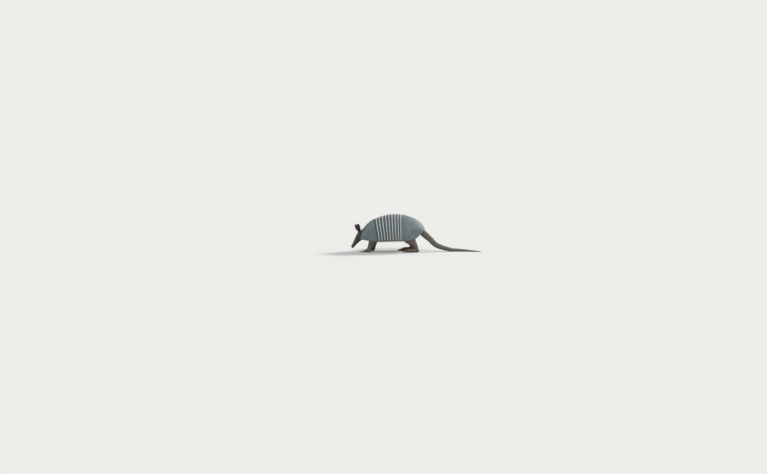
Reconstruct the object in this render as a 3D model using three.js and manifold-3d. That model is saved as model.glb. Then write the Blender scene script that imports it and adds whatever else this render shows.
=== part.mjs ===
// Life-size model of a nine-banded armadillo (Dasypus novemcinctus) that feeds with its head down.
// Millimetres. The snout points towards -X, the animal's right side towards +Y, +Z is up, and the
// soles and the last half of the tail stand on the floor at Z 0. The origin is on the floor, under
// the middle of the whole animal.
import * as THREE from "three";
import { LoftGeometry } from "three/addons/geometries/LoftGeometry.js";
import { mergeVertices } from "three/addons/utils/BufferGeometryUtils.js";
import Module from "manifold-3d";

const wasm = await Module();
wasm.setup();

// ---- driving dimensions ------------------------------------------------------------------------

const GAP = 0.4; // clearance between touching pieces
const SIDES = [
  { name: "left", sign: -1 },
  { name: "right", sign: 1 },
];

// The carapace is described at landmarks along the back: 0 is the front rim at the neck, 2 the front
// of the first band, 4 the front of the hip shield and 8 the rim over the tail. Each row of BACK is
// the mid-dorsal point and the half-width there, each row of EDGE the lower edge on the same landmark.
const BACK = [
  { x: -155, half: 51, z: 126 },
  { x: -131, half: 67, z: 149.5 },
  { x: -103, half: 77, z: 167.5 },
  { x: -33, half: 85, z: 190 },
  { x: 36, half: 87, z: 191.5 },
  { x: 83, half: 84, z: 180 },
  { x: 121, half: 75, z: 162.5 },
  { x: 148, half: 63, z: 140 },
  { x: 160, half: 49, z: 116 },
];
const EDGE = [
  { x: -176, z: 67 },
  { x: -133, z: 61 },
  { x: -85, z: 61 },
  { x: -22, z: 64 },
  { x: 38, z: 66 },
  { x: 76, z: 67 },
  { x: 104, z: 70 },
  { x: 120, z: 76 },
  { x: 130, z: 85 },
];
const FIRST_BAND = 2;
const SHOULDER_ROWS = [0.6, 1.1, 1.55]; // landmarks between the rims where the shields are shaped
const HIP_ROWS = [4.7, 5.35, 6, 6.6, 7.15, 7.65];
const HIP_SHIELD = 4;
const TAIL_RIM = 8;
const BAND_COUNT = 9;
const ARCH_STEPS = 12; // facets across the back
const ARCH_POWER = 0.85; // under 1 squares the arch a little
const ARCH_TUCK = 0.06; // how far the lower edges turn in
const PLATE = 4.2; // thickness of horn and bone together
const SHIELD_LIFT = 0.3; // swell of the shields between their rims
const RIM_LIFT = 0.7; // how far a plate's rear rim stands proud
const RIM_INNER = -1.4; // underside of that rim
const TONGUE_LIFT = -2.4; // top of the tongue that slides under the plate in front
const TONGUE = 0.035; // its length, in landmarks
const SEAM = 0.006; // gap between plates, in landmarks

// The flesh inside the carapace.
const FLESH_LIFT = -PLATE - 1;
const BELLY_DEPTH = 11;
const BELLY_STEPS = 5;

// The head, in its own frame: the snout along -X, the crown up. It hangs from the back of the skull.
const HEAD_PITCH = THREE.MathUtils.degToRad(54);
const HEAD_AT = { x: -158, z: 102 };
const HEAD = [
  { along: -7, top: 4, bottom: -10, half: 8 },
  { along: -3, top: 11, bottom: -18, half: 15 },
  { along: 4, top: 16.5, bottom: -22.5, half: 20 },
  { along: 16, top: 20, bottom: -24, half: 22 },
  { along: 30, top: 20, bottom: -22, half: 21.5 },
  { along: 44, top: 17, bottom: -17.5, half: 18.5 },
  { along: 58, top: 13.5, bottom: -13, half: 13.5 },
  { along: 74, top: 10.5, bottom: -9.8, half: 10 },
  { along: 88, top: 8.6, bottom: -8, half: 8.4 },
  { along: 97, top: 7.8, bottom: -6.8, half: 7.6 },
];
const HEAD_SIDES = 14;
const HEAD_SHIELD = {
  thickness: 2,
  outline: [[1, 5], [12, 8.5], [24, 15], [38, 18], [52, 12.5], [70, 8], [90, 5.5]],
};
const NOSE = { from: 97.4, to: 101.2, radius: 7.6, nostril: 1.7, apart: 3.4, depth: 2.6 };
const MOUTH = { from: 60, at: -6.6, opening: 0.7, droop: 0.06 };
const EYE = { radius: 4.1, along: 44, up: 4.6, out: 15.7 };
const EAR = {
  length: 45,
  wall: 2.4,
  along: 9,
  up: 15,
  out: 12.5,
  splay: THREE.MathUtils.degToRad(14),
  facing: THREE.MathUtils.degToRad(38),
  lean: { left: THREE.MathUtils.degToRad(40), right: THREE.MathUtils.degToRad(18) },
};
const EAR_STEPS = 6;

// Limb tubes: where each ring's centre is, and its half-size across the body and fore and aft.
const NECK = [
  { x: -108, z: 99, wide: 44, deep: 40 },
  { x: -134, z: 98, wide: 35, deep: 33 },
  { x: -151, z: 93.5, wide: 26, deep: 26 },
  { x: -167, z: 84, wide: 21, deep: 21 },
];
const FORE_LEG = [
  { x: -108, y: 43, z: 84, wide: 21, deep: 28 },
  { x: -106, y: 46, z: 62, wide: 17.5, deep: 22 },
  { x: -111, y: 46, z: 43, wide: 12.5, deep: 15.5 },
  { x: -117, y: 45, z: 24, wide: 9.8, deep: 11 },
];
const HIND_LEG = [
  { x: 80, y: 44, z: 98, wide: 30, deep: 40 },
  { x: 78, y: 49, z: 76, wide: 26, deep: 36 },
  { x: 88, y: 51, z: 55, wide: 17.5, deep: 23 },
  { x: 100, y: 50, z: 38, wide: 11.5, deep: 14 },
  { x: 106, y: 50, z: 20, wide: 9.6, deep: 11 },
];
const LEG_SIDES = 12;
const STRIDE = {
  fore: { left: -9, right: 12 },
  hind: { left: 8, right: -13 },
};

// Feet. Each toe has its place across the foot, its reach in front of the palm, its radius and the
// length of its claw. The first toe is the inner one.
const FORE_FOOT = {
  ankle: { x: -117, z: 27, radius: 9.8 },
  palm: { x: -125, z: 8.6, length: 16, half: 13.5, height: 9.4 },
  toeStart: -127,
  toes: [
    { across: -9.6, reach: 16, radius: 3.8, claw: 10 },
    { across: -3.7, reach: 22, radius: 4.8, claw: 18 },
    { across: 3.6, reach: 21, radius: 4.8, claw: 17 },
    { across: 10, reach: 13, radius: 3.7, claw: 9 },
  ],
};
const HIND_FOOT = {
  ankle: { x: 106, z: 24, radius: 9.8 },
  palm: { x: 88, z: 9, length: 34, half: 14, height: 10 },
  toeStart: 66,
  toes: [
    { across: -11.6, reach: 7, radius: 3.6, claw: 9 },
    { across: -6.2, reach: 16, radius: 4.4, claw: 13 },
    { across: 0, reach: 20, radius: 4.7, claw: 15 },
    { across: 6.2, reach: 16, radius: 4.3, claw: 13 },
    { across: 11.4, reach: 5, radius: 3.5, claw: 9 },
  ],
};
const TOE_SPLAY = 0.14; // sideways travel of a toe for each millimetre that it reaches forward
const FOOT_SIDES = 6;
const CLAW_SIDES = 5;

// The tail leaves the rump downwards and then lies on the floor, bending a little to the left.
const TAIL_LENGTH = 335;
const TAIL_RADIUS = 17.6;
const TAIL_TIP_RADIUS = 1.6;
const TAIL_SLOPE = THREE.MathUtils.degToRad(42);
const TAIL_START = { x: 149, z: 97.8 };
const TAIL_ON_FLOOR = 0.53; // share of the length at which the underside meets the floor
const TAIL_BEND = 26; // sideways travel of the tip
const TAIL_SINK = 0.4; // depth of the flat along the underside
const RING_COUNT = 12;
const RINGED_SHARE = 0.6;
const TAIL_SIDES = 10;
const RING_FLARE = 0.9;

const COLOURS = {
  shell: { color: 0x666b70, roughness: 0.6 },
  band: { color: 0x7c8388, roughness: 0.6 },
  tail: { color: 0x8a8578, roughness: 0.65 },
  headShield: { color: 0x5a5750, roughness: 0.6 },
  skin: { color: 0x8c7466, roughness: 0.8 },
  ear: { color: 0x3d3835, roughness: 0.75 },
  nose: { color: 0x7b5f58, roughness: 0.5 },
  eye: { color: 0x0b0908, roughness: 0.15 },
  claw: { color: 0xb3a584, roughness: 0.45 },
};

// ---- closed solids -----------------------------------------------------------------------------

const MERGE_DISTANCE = 1e-4;

// A closed three.js geometry as a manifold-3d solid, without the zero-area triangles of its poles.
function solidOf(geometry) {
  const bare = new THREE.BufferGeometry()
    .setAttribute("position", geometry.getAttribute("position"))
    .setIndex(geometry.index);
  const merged = mergeVertices(bare, MERGE_DISTANCE);
  const corners = merged.index.array;
  const kept = [];
  for (let i = 0; i < corners.length; i += 3) {
    const [a, b, c] = corners.subarray(i, i + 3);
    if (a !== b && b !== c && c !== a) kept.push(a, b, c);
  }
  return new wasm.Manifold(
    new wasm.Mesh({
      numProp: 3,
      vertProperties: merged.attributes.position.array,
      triVerts: new Uint32Array(kept),
    }),
  );
}

// A solid through sections of any shape, with flat ends. Seen from its last section, each section
// runs counterclockwise.
const capped = (sections) => solidOf(new LoftGeometry(sections, { capStart: true, capEnd: true }));

// A solid through rounded sections, listed either way round: each end closes in a fan about its middle.
function loft(sections) {
  const pole = (section) => {
    const sum = section.reduce((total, point) => total.add(point), new THREE.Vector3());
    return section.map(() => sum.clone().divideScalar(section.length));
  };
  const closed = [pole(sections[0]), ...sections, pole(sections.at(-1))];
  const made = solidOf(new LoftGeometry(closed));
  if (made.volume() > 0) return made;
  return solidOf(new LoftGeometry(closed.map((section) => [...section].reverse())));
}

function geometryOf(solid) {
  const { numVert, numProp, vertProperties, triVerts } = solid.getMesh();
  const positions = new Float32Array(numVert * 3);
  for (let i = 0; i < numVert; i++) {
    positions.set(vertProperties.subarray(i * numProp, i * numProp + 3), i * 3);
  }
  return new THREE.BufferGeometry()
    .setAttribute("position", new THREE.BufferAttribute(positions, 3))
    .setIndex(new THREE.BufferAttribute(triVerts, 1));
}

function meshOf(name, solid, colour) {
  const geometry = geometryOf(solid);
  geometry.computeVertexNormals();
  const material = new THREE.MeshStandardMaterial({ ...colour, metalness: 0 });
  const mesh = new THREE.Mesh(geometry, material);
  mesh.name = name;
  return mesh;
}

// A ring of points round a centre, in the plane square to a direction. Its "wide" half-size lies
// across the body and its "deep" half-size at right angles to that.
function ring(centre, direction, wide, deep, sides) {
  const along = direction.clone().normalize();
  const across = new THREE.Vector3(0, 1, 0).addScaledVector(along, -along.y).normalize();
  const other = new THREE.Vector3().crossVectors(along, across);
  return Array.from({ length: sides }, (_, i) => {
    const angle = ((i + 0.5) / sides) * 2 * Math.PI;
    return centre
      .clone()
      .addScaledVector(across, wide * Math.cos(angle))
      .addScaledVector(other, deep * Math.sin(angle));
  });
}

// A solid tube through stations { at, wide, deep }, each ring square to the way the tube runs there.
function tube(stations, sides) {
  const sections = stations.map(({ at, wide, deep }, i) => {
    const before = stations[Math.max(i - 1, 0)].at;
    const after = stations[Math.min(i + 1, stations.length - 1)].at;
    return ring(at, after.clone().sub(before), wide, deep, sides);
  });
  return loft(sections);
}

// What is left of a solid above or below a level.
const above = (solid, level) => solid.trimByPlane([0, 0, 1], level);
const below = (solid, level) => solid.trimByPlane([0, 0, -1], -level);

// ---- carapace ----------------------------------------------------------------------------------

const backLine = new THREE.CatmullRomCurve3(
  BACK.map(({ x, half, z }) => new THREE.Vector3(x, half, z)), false, "catmullrom");
const edgeLine = new THREE.CatmullRomCurve3(
  EDGE.map(({ x, z }) => new THREE.Vector3(x, 0, z)), false, "catmullrom");

// The arch over the back at a landmark, from the left edge to the right one, raised by a lift.
function arch(landmark, lift) {
  const share = THREE.MathUtils.clamp(landmark / TAIL_RIM, 0, 1);
  const top = backLine.getPoint(share);
  const edge = edgeLine.getPoint(share);
  const half = top.y + lift;
  top.y = 0;
  const rise = top.sub(edge);
  rise.setLength(rise.length() + lift);
  return Array.from({ length: ARCH_STEPS + 1 }, (_, i) => {
    const angle = (Math.PI * i) / ARCH_STEPS;
    const side = -Math.sign(Math.cos(angle)) * Math.abs(Math.cos(angle)) ** ARCH_POWER;
    const height = Math.sin(angle) ** ARCH_POWER;
    const point = edge.clone().addScaledVector(rise, height);
    point.y = side * half * (1 - ARCH_TUCK * (1 - height) ** 2);
    return point;
  });
}

// A plate of the carapace through rows of [landmark, lift of the top, lift of the underside].
function plate(rows) {
  return capped(rows.map(([landmark, top, underside]) => [
    ...arch(landmark, underside),
    ...arch(landmark, top).reverse(),
  ]));
}

// The rear rim of a plate that ends at a landmark: thin, so that the next tongue goes under it.
const rearRim = (landmark) => [
  [landmark - TONGUE - 0.02, RIM_LIFT * 0.6, -PLATE],
  [landmark - TONGUE - 0.008, RIM_LIFT * 0.7, RIM_INNER],
  [landmark - SEAM, RIM_LIFT, RIM_INNER],
];

function shoulderShield() {
  return plate([
    [0, -1, -PLATE + 0.8],
    [0.16, 0, -PLATE],
    ...SHOULDER_ROWS.map((landmark) => [landmark, SHIELD_LIFT, -PLATE]),
    ...rearRim(FIRST_BAND),
  ]);
}

function band(index) {
  const width = (HIP_SHIELD - FIRST_BAND) / BAND_COUNT;
  const front = FIRST_BAND + index * width;
  return plate([[front - TONGUE, TONGUE_LIFT, -PLATE], ...rearRim(front + width)]);
}

function hipShield() {
  return plate([
    [HIP_SHIELD - TONGUE, TONGUE_LIFT, -PLATE],
    [HIP_SHIELD + 0.16, 0, -PLATE],
    ...HIP_ROWS.map((landmark) => [landmark, SHIELD_LIFT, -PLATE]),
    [TAIL_RIM, 0, -PLATE + 0.8],
  ]);
}

// Everything that the carapace covers, as one block that is closed across the belly.
function coveredBlock(grow) {
  const landmarks = [0, ...SHOULDER_ROWS, 2, 2.67, 3.33, 4, ...HIP_ROWS, TAIL_RIM];
  return loft(landmarks.map((landmark) => arch(landmark, RIM_LIFT + grow)));
}

// ---- flesh of the trunk and neck ---------------------------------------------------------------

// The trunk fills the carapace up to a small clearance and rounds off at the neck and the rump.
function trunk(grow = 0) {
  const rows = [
    { landmark: 0.8, size: 0.6, shift: 0 },
    { landmark: 1.1, size: 0.88, shift: 0 },
    ...[1.55, 2, 3, 4, 4.7, 5.35, 6].map((landmark) => ({ landmark, size: 1, shift: 0 })),
    { landmark: 6.6, size: 0.99, shift: 0 },
    { landmark: 7.15, size: 0.95, shift: 0 },
    { landmark: 7.65, size: 0.9, shift: 0 },
    { landmark: 7.88, size: 0.76, shift: 0 },
    { landmark: TAIL_RIM, size: 0.64, shift: 1.5 },
    { landmark: TAIL_RIM, size: 0.4, shift: 4 },
  ];
  const sections = rows.map(({ landmark, size, shift }, row) => {
    const upper = arch(landmark, FLESH_LIFT + grow);
    const first = upper[0];
    const last = upper[upper.length - 1];
    const fullness = Math.sin(Math.PI * (0.12 + (0.8 * landmark) / TAIL_RIM));
    const sag = BELLY_DEPTH * fullness + grow;
    const lower = Array.from({ length: BELLY_STEPS }, (_, i) => {
      const angle = (Math.PI * (i + 1)) / (BELLY_STEPS + 1);
      const point = first.clone().lerp(last, 0.5 + 0.5 * Math.cos(angle));
      point.z -= sag * Math.sin(angle) ** 0.7;
      return point;
    });
    const loop = [...upper, ...lower];
    const centre = loop.reduce((sum, p) => sum.add(p), new THREE.Vector3()).divideScalar(loop.length);
    const end = row === 0 ? -grow : row === rows.length - 1 ? grow : 0;
    return loop.map((p) => {
      const point = p.sub(centre).multiplyScalar(size).add(centre);
      point.x += shift + end;
      point.z -= shift * 0.6;
      return point;
    });
  });
  return loft(sections);
}

const stationsOf = (rows, sign = 0) =>
  rows.map(({ x, y = 0, z, wide, deep }) => ({ at: new THREE.Vector3(x, y * sign, z), wide, deep }));

// ---- head --------------------------------------------------------------------------------------

const headPlace = new THREE.Matrix4()
  .makeRotationY(-HEAD_PITCH)
  .setPosition(HEAD_AT.x, 0, HEAD_AT.z);

// The plain form of the head in its own frame, grown outwards where a neighbour needs clearance.
function headForm(grow = 0) {
  const last = HEAD.length - 1;
  const stations = HEAD.map(({ along, top, bottom, half }, i) => {
    const end = i === 0 ? grow : i === last ? -grow : 0;
    return {
      at: new THREE.Vector3(-along + end, 0, (top + bottom) / 2),
      wide: half + grow,
      deep: (top - bottom) / 2 + grow,
    };
  });
  const sections = stations.map(({ at, wide, deep }) =>
    ring(at, new THREE.Vector3(-1, 0, 0), wide, deep, HEAD_SIDES));
  return loft(sections);
}

const eyeCentre = (sign) => new THREE.Vector3(-EYE.along, sign * EYE.out, EYE.up);

function eyeball(sign, grow = 0) {
  const { x, y, z } = eyeCentre(sign);
  return solidOf(new THREE.SphereGeometry(EYE.radius + grow, 9, 6).translate(x, y, z));
}

function head() {
  const slit = new THREE.BoxGeometry(60, 40, MOUTH.opening)
    .rotateY(MOUTH.droop)
    .translate(-MOUTH.from - 30, 0, MOUTH.at);
  let form = headForm().subtract(solidOf(slit));
  for (const { sign } of SIDES) form = form.subtract(eyeball(sign, GAP));
  return form;
}

// The horn shield that covers the head from the snout to between the ears.
function headShieldBlock(grow) {
  const { outline, thickness } = HEAD_SHIELD;
  const across = (sign) => outline.map(([along, half]) => new THREE.Vector2(-along, sign * (half + grow)));
  const shape = new THREE.Shape([...across(1), ...across(-1).reverse()]);
  const column = new THREE.ExtrudeGeometry(shape, { depth: 40, bevelEnabled: false });
  return headForm(thickness + grow).intersect(solidOf(column));
}

const headShield = () => headShieldBlock(0).subtract(headForm(GAP));

function nose() {
  const { from, to, radius, nostril, apart, depth } = NOSE;
  const centre = (HEAD.at(-1).top + HEAD.at(-1).bottom) / 2;
  const rows = [[from, radius * 0.96], [(from + to) / 2, radius], [to, radius * 0.78]];
  const forward = new THREE.Vector3(-1, 0, 0);
  let pad = loft(rows.map(([along, size]) =>
    ring(new THREE.Vector3(-along, 0, centre), forward, size, size, 10)));
  for (const { sign } of SIDES) {
    const hole = new THREE.CylinderGeometry(nostril, nostril, depth * 2, 7)
      .rotateZ(Math.PI / 2)
      .translate(-to, sign * apart, centre + 1);
    pad = pad.subtract(solidOf(hole));
  }
  return pad;
}

// One ear as a rolled leaf. It stands on its root along +Z, and its opening faces -X.
function earLeaf() {
  const rows = [
    { up: -6, radius: 5.6, roll: 150 },
    { up: 6, radius: 7.6, roll: 140 },
    { up: 15, radius: 10, roll: 112 },
    { up: 26, radius: 11.6, roll: 92 },
    { up: 36, radius: 10.4, roll: 82 },
    { up: 42.5, radius: 7.2, roll: 76 },
    { up: EAR.length, radius: 3.4, roll: 70 },
  ];
  const sections = rows.map(({ up, radius, roll }) => {
    const reach = THREE.MathUtils.degToRad(roll);
    const arc = (size) => Array.from({ length: EAR_STEPS + 1 }, (_, i) => {
      const angle = reach * ((2 * i) / EAR_STEPS - 1);
      return new THREE.Vector3(size * Math.cos(angle) - radius * 0.4, size * Math.sin(angle), up);
    });
    return [...arc(radius), ...arc(Math.max(radius - EAR.wall, 0.8)).reverse()];
  });
  return geometryOf(capped(sections));
}

// The ear turned to face outwards and forwards, leant back from the crown and set on its root.
function ear({ name, sign }) {
  const leaf = earLeaf()
    .rotateZ(sign * -EAR.facing)
    .rotateX(sign * -EAR.splay)
    .rotateY(EAR.lean[name])
    .translate(-EAR.along, sign * EAR.out, EAR.up);
  return solidOf(leaf).subtract(headForm(GAP)).subtract(headShieldBlock(GAP));
}

// ---- legs and feet -----------------------------------------------------------------------------

// Below the body the whole leg leans so that the foot stands ahead of or behind its usual place.
function leg(rows, { ankle }, sign, stride) {
  const top = rows[0].z;
  const foot = rows.at(-1).z;
  const stations = stationsOf(rows, sign);
  for (const { at } of stations) at.x += (stride * (top - at.z)) / (top - foot);
  const whole = tube(stations, LEG_SIDES).subtract(trunkGrown).subtract(carapaceGrown);
  return above(whole, ankle.z + GAP / 2);
}

function toeLine(foot, toe, sign, stride) {
  const across = foot.across + sign * toe.across;
  const end = foot.toeStart - toe.reach + stride;
  return {
    start: new THREE.Vector3(foot.toeStart + 6 + stride, across, toe.radius + 2.4),
    end: new THREE.Vector3(end, across + sign * toe.across * TOE_SPLAY * 2, toe.radius + 0.4),
  };
}

function footSolid(foot, sign, stride) {
  const { palm, ankle } = foot;
  const sole = new THREE.SphereGeometry(1, 10, 6)
    .scale(palm.length, palm.half, palm.height)
    .translate(palm.x + stride, foot.across, palm.z);
  const stemTop = new THREE.Vector3(ankle.x + stride, foot.across, ankle.z + 2);
  const stemFoot = new THREE.Vector3(ankle.x + stride - 1, foot.across, palm.z);
  const stem = tube([
    { at: stemTop, wide: ankle.radius, deep: ankle.radius + 1 },
    { at: stemFoot, wide: ankle.radius + 1, deep: ankle.radius + 0.5 },
  ], LEG_SIDES - 2);
  let solid = solidOf(sole).add(stem);
  for (const toe of foot.toes) {
    const { start, end } = toeLine(foot, toe, sign, stride);
    const middle = start.clone().lerp(end, 0.55).add(new THREE.Vector3(0, 0, 1.4));
    solid = solid.add(tube([
      { at: start, wide: toe.radius, deep: toe.radius },
      { at: middle, wide: toe.radius * 1.02, deep: toe.radius * 1.05 },
      { at: end, wide: toe.radius * 0.86, deep: toe.radius * 0.86 },
    ], FOOT_SIDES));
  }
  return above(below(solid, ankle.z - GAP / 2), 0);
}

// A claw grows out of the end of its toe and curves down to the floor.
function clawSolid(foot, toe, sign, stride) {
  const { start, end } = toeLine(foot, toe, sign, stride);
  const forward = end.clone().sub(start).setZ(0).normalize();
  const root = end.clone().addScaledVector(forward, 2 * GAP);
  const point = (reach, z) => root.clone().addScaledVector(forward, reach * toe.claw).setZ(z);
  const size = toe.radius * 0.72;
  return above(tube([
    { at: point(0, root.z), wide: size, deep: size },
    { at: point(0.4, root.z * 0.86), wide: size * 0.82, deep: size * 0.8 },
    { at: point(0.75, root.z * 0.5), wide: size * 0.52, deep: size * 0.5 },
    { at: point(1, 0.7), wide: 0.5, deep: 0.5 },
  ], CLAW_SIDES), 0);
}

// ---- tail --------------------------------------------------------------------------------------

const tailRadius = (share) => TAIL_TIP_RADIUS + (TAIL_RADIUS - TAIL_TIP_RADIUS) * (1 - share) ** 0.92;

// The centre line: a straight slope from the rump, then the height of the radius along the floor.
function tailLine() {
  const points = [];
  const slopeEnd = 0.3;
  for (const share of [0, 0.15, slopeEnd]) {
    points.push(new THREE.Vector3(
      TAIL_START.x + share * TAIL_LENGTH * Math.cos(TAIL_SLOPE),
      0,
      TAIL_START.z - share * TAIL_LENGTH * Math.sin(TAIL_SLOPE),
    ));
  }
  const floorStart = points.at(-1).x + (TAIL_ON_FLOOR - slopeEnd) * TAIL_LENGTH * 0.9;
  const floorEnd = floorStart + (1 - TAIL_ON_FLOOR) * TAIL_LENGTH;
  for (const share of [0, 0.2, 0.4, 0.6, 0.8, 1]) {
    const whole = TAIL_ON_FLOOR + share * (1 - TAIL_ON_FLOOR);
    points.push(new THREE.Vector3(
      THREE.MathUtils.lerp(floorStart, floorEnd, share),
      -TAIL_BEND * share ** 2,
      tailRadius(whole) - TAIL_SINK,
    ));
  }
  return new THREE.CatmullRomCurve3(points, false, "centripetal");
}

const tailCurve = tailLine();

function tailStation(share, flare = 0) {
  const radius = tailRadius(share) + flare;
  const at = tailCurve.getPointAt(share);
  return { at, direction: tailCurve.getTangentAt(share), radius };
}

const tailPiece = (stations) => above(loft(stations.map(({ at, direction, radius }) =>
  ring(at, direction, radius, radius, TAIL_SIDES))), 0);

function tailRing(index) {
  const length = RINGED_SHARE / (RING_COUNT + 1);
  const from = index && (index + 1) * length;
  const to = (index + 2) * length;
  const gap = GAP / TAIL_LENGTH;
  return tailPiece([
    tailStation(from, -0.3),
    tailStation(to - length * 0.3, RING_FLARE * 0.8),
    tailStation(to - gap, RING_FLARE),
  ]);
}

function tailEnd(from, to) {
  const steps = 4;
  const last = to - (to < 1 ? GAP / TAIL_LENGTH : 0);
  return tailPiece(Array.from({ length: steps + 1 }, (_, i) =>
    tailStation(THREE.MathUtils.lerp(from, last, i / steps))));
}

// ---- assembly ----------------------------------------------------------------------------------

const trunkGrown = trunk(GAP);
const carapaceGrown = coveredBlock(GAP);
const animal = new THREE.Group();

animal.add(meshOf("shoulder_shield", shoulderShield(), COLOURS.shell));
for (let i = 0; i < BAND_COUNT; i++) animal.add(meshOf(`band_${i + 1}`, band(i), COLOURS.band));
animal.add(meshOf("hip_shield", hipShield(), COLOURS.shell));
animal.add(meshOf("trunk", trunk(), COLOURS.skin));

const headInPlace = solidOf(geometryOf(headForm(GAP)).applyMatrix4(headPlace));
const neck = tube(stationsOf(NECK), LEG_SIDES).subtract(trunkGrown).subtract(headInPlace);
animal.add(meshOf("neck", neck, COLOURS.skin));

const headGroup = new THREE.Group();
headGroup.rotation.y = -HEAD_PITCH;
headGroup.position.set(HEAD_AT.x, 0, HEAD_AT.z);
headGroup.add(meshOf("head", head(), COLOURS.skin));
headGroup.add(meshOf("head_shield", headShield(), COLOURS.headShield));
headGroup.add(meshOf("nose", nose(), COLOURS.nose));
for (const side of SIDES) {
  headGroup.add(meshOf(`eye_${side.name}`, eyeball(side.sign), COLOURS.eye));
  headGroup.add(meshOf(`ear_${side.name}`, ear(side), COLOURS.ear));
}
animal.add(headGroup);

for (const { name, sign } of SIDES) {
  const limbs = [
    { limb: "fore", rows: FORE_LEG, foot: FORE_FOOT },
    { limb: "hind", rows: HIND_LEG, foot: HIND_FOOT },
  ];
  for (const { limb, rows, foot } of limbs) {
    const stride = STRIDE[limb][name];
    const placed = { ...foot, across: sign * rows.at(-1).y };
    animal.add(meshOf(`${limb}_leg_${name}`, leg(rows, foot, sign, stride), COLOURS.skin));
    animal.add(meshOf(`${limb}_foot_${name}`, footSolid(placed, sign, stride), COLOURS.skin));
    foot.toes.forEach((toe, i) => {
      const claw = clawSolid(placed, toe, sign, stride);
      animal.add(meshOf(`${limb}_claw_${name}_${i + 1}`, claw, COLOURS.claw));
    });
  }
}

for (let i = 0; i < RING_COUNT; i++) {
  const whole = tailRing(i);
  const cut = i < 2 ? whole.subtract(trunkGrown).subtract(carapaceGrown) : whole;
  animal.add(meshOf(`tail_ring_${i + 1}`, cut, COLOURS.tail));
}
const tipFrom = RINGED_SHARE + (1 - RINGED_SHARE) / 2;
animal.add(meshOf("tail_end", tailEnd(RINGED_SHARE, tipFrom), COLOURS.tail));
animal.add(meshOf("tail_tip", tailEnd(tipFrom, 1), COLOURS.tail));

// The origin goes under the middle of the animal's box.
const middle = new THREE.Box3().setFromObject(animal, true).getCenter(new THREE.Vector3());
animal.position.set(-middle.x, -middle.y, 0);

const armadillo = new THREE.Group();
armadillo.add(animal);

export default armadillo;
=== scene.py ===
import math

import bmesh
import bpy
import numpy as np
from mathutils import Matrix, Vector, geometry, kdtree, noise
from mathutils.bvhtree import BVHTree


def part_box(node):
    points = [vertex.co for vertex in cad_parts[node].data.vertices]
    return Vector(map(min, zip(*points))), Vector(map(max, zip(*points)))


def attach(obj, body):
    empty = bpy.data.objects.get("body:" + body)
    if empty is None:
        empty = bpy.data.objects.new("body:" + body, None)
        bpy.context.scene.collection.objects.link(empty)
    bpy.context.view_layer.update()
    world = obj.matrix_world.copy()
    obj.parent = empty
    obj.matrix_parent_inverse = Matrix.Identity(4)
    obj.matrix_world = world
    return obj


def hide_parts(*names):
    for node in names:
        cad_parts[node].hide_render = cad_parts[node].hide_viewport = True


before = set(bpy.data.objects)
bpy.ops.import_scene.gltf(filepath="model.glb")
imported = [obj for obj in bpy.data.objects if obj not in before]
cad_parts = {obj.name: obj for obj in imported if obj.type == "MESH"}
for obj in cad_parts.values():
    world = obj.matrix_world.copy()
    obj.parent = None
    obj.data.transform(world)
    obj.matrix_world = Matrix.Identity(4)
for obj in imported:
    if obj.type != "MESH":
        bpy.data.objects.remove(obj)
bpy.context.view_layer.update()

# ---- camera, floor and lamps ----------------------------------------------------------------------
# The animal stands on a plain pale floor that runs on to the horizon. A long lens looks at it from the
# left, from a standing person's height, and a second soft lamp behind it lights the edge of its back.
AIM = Vector((-0.168, 0, 0.075))
CAMERA_DISTANCE = 18.4
CAMERA_ELEVATION = math.radians(5)
LENS = 167
CLIP_END = 400
FLOOR_HALF = 150
FLOOR_COLOUR = (0.66, 0.67, 0.665, 1)
SKY_COLOUR = (0.98, 0.985, 1, 1)
SKY, SKY_SEEN = 0.42, 0.85  # how strongly the sky lights the animal, and how bright it looks itself

scene = bpy.context.scene
scene.view_settings.view_transform = "Standard"
camera = bpy.data.objects.new("camera", bpy.data.cameras.new("camera"))
camera.data.lens = LENS
camera.data.clip_end = CLIP_END
away = Vector((0, -math.cos(CAMERA_ELEVATION), math.sin(CAMERA_ELEVATION)))
camera.location = AIM + away * CAMERA_DISTANCE
camera.rotation_euler = (-away).to_track_quat("-Z", "Y").to_euler()
scene.collection.objects.link(camera)
scene.camera = camera


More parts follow.
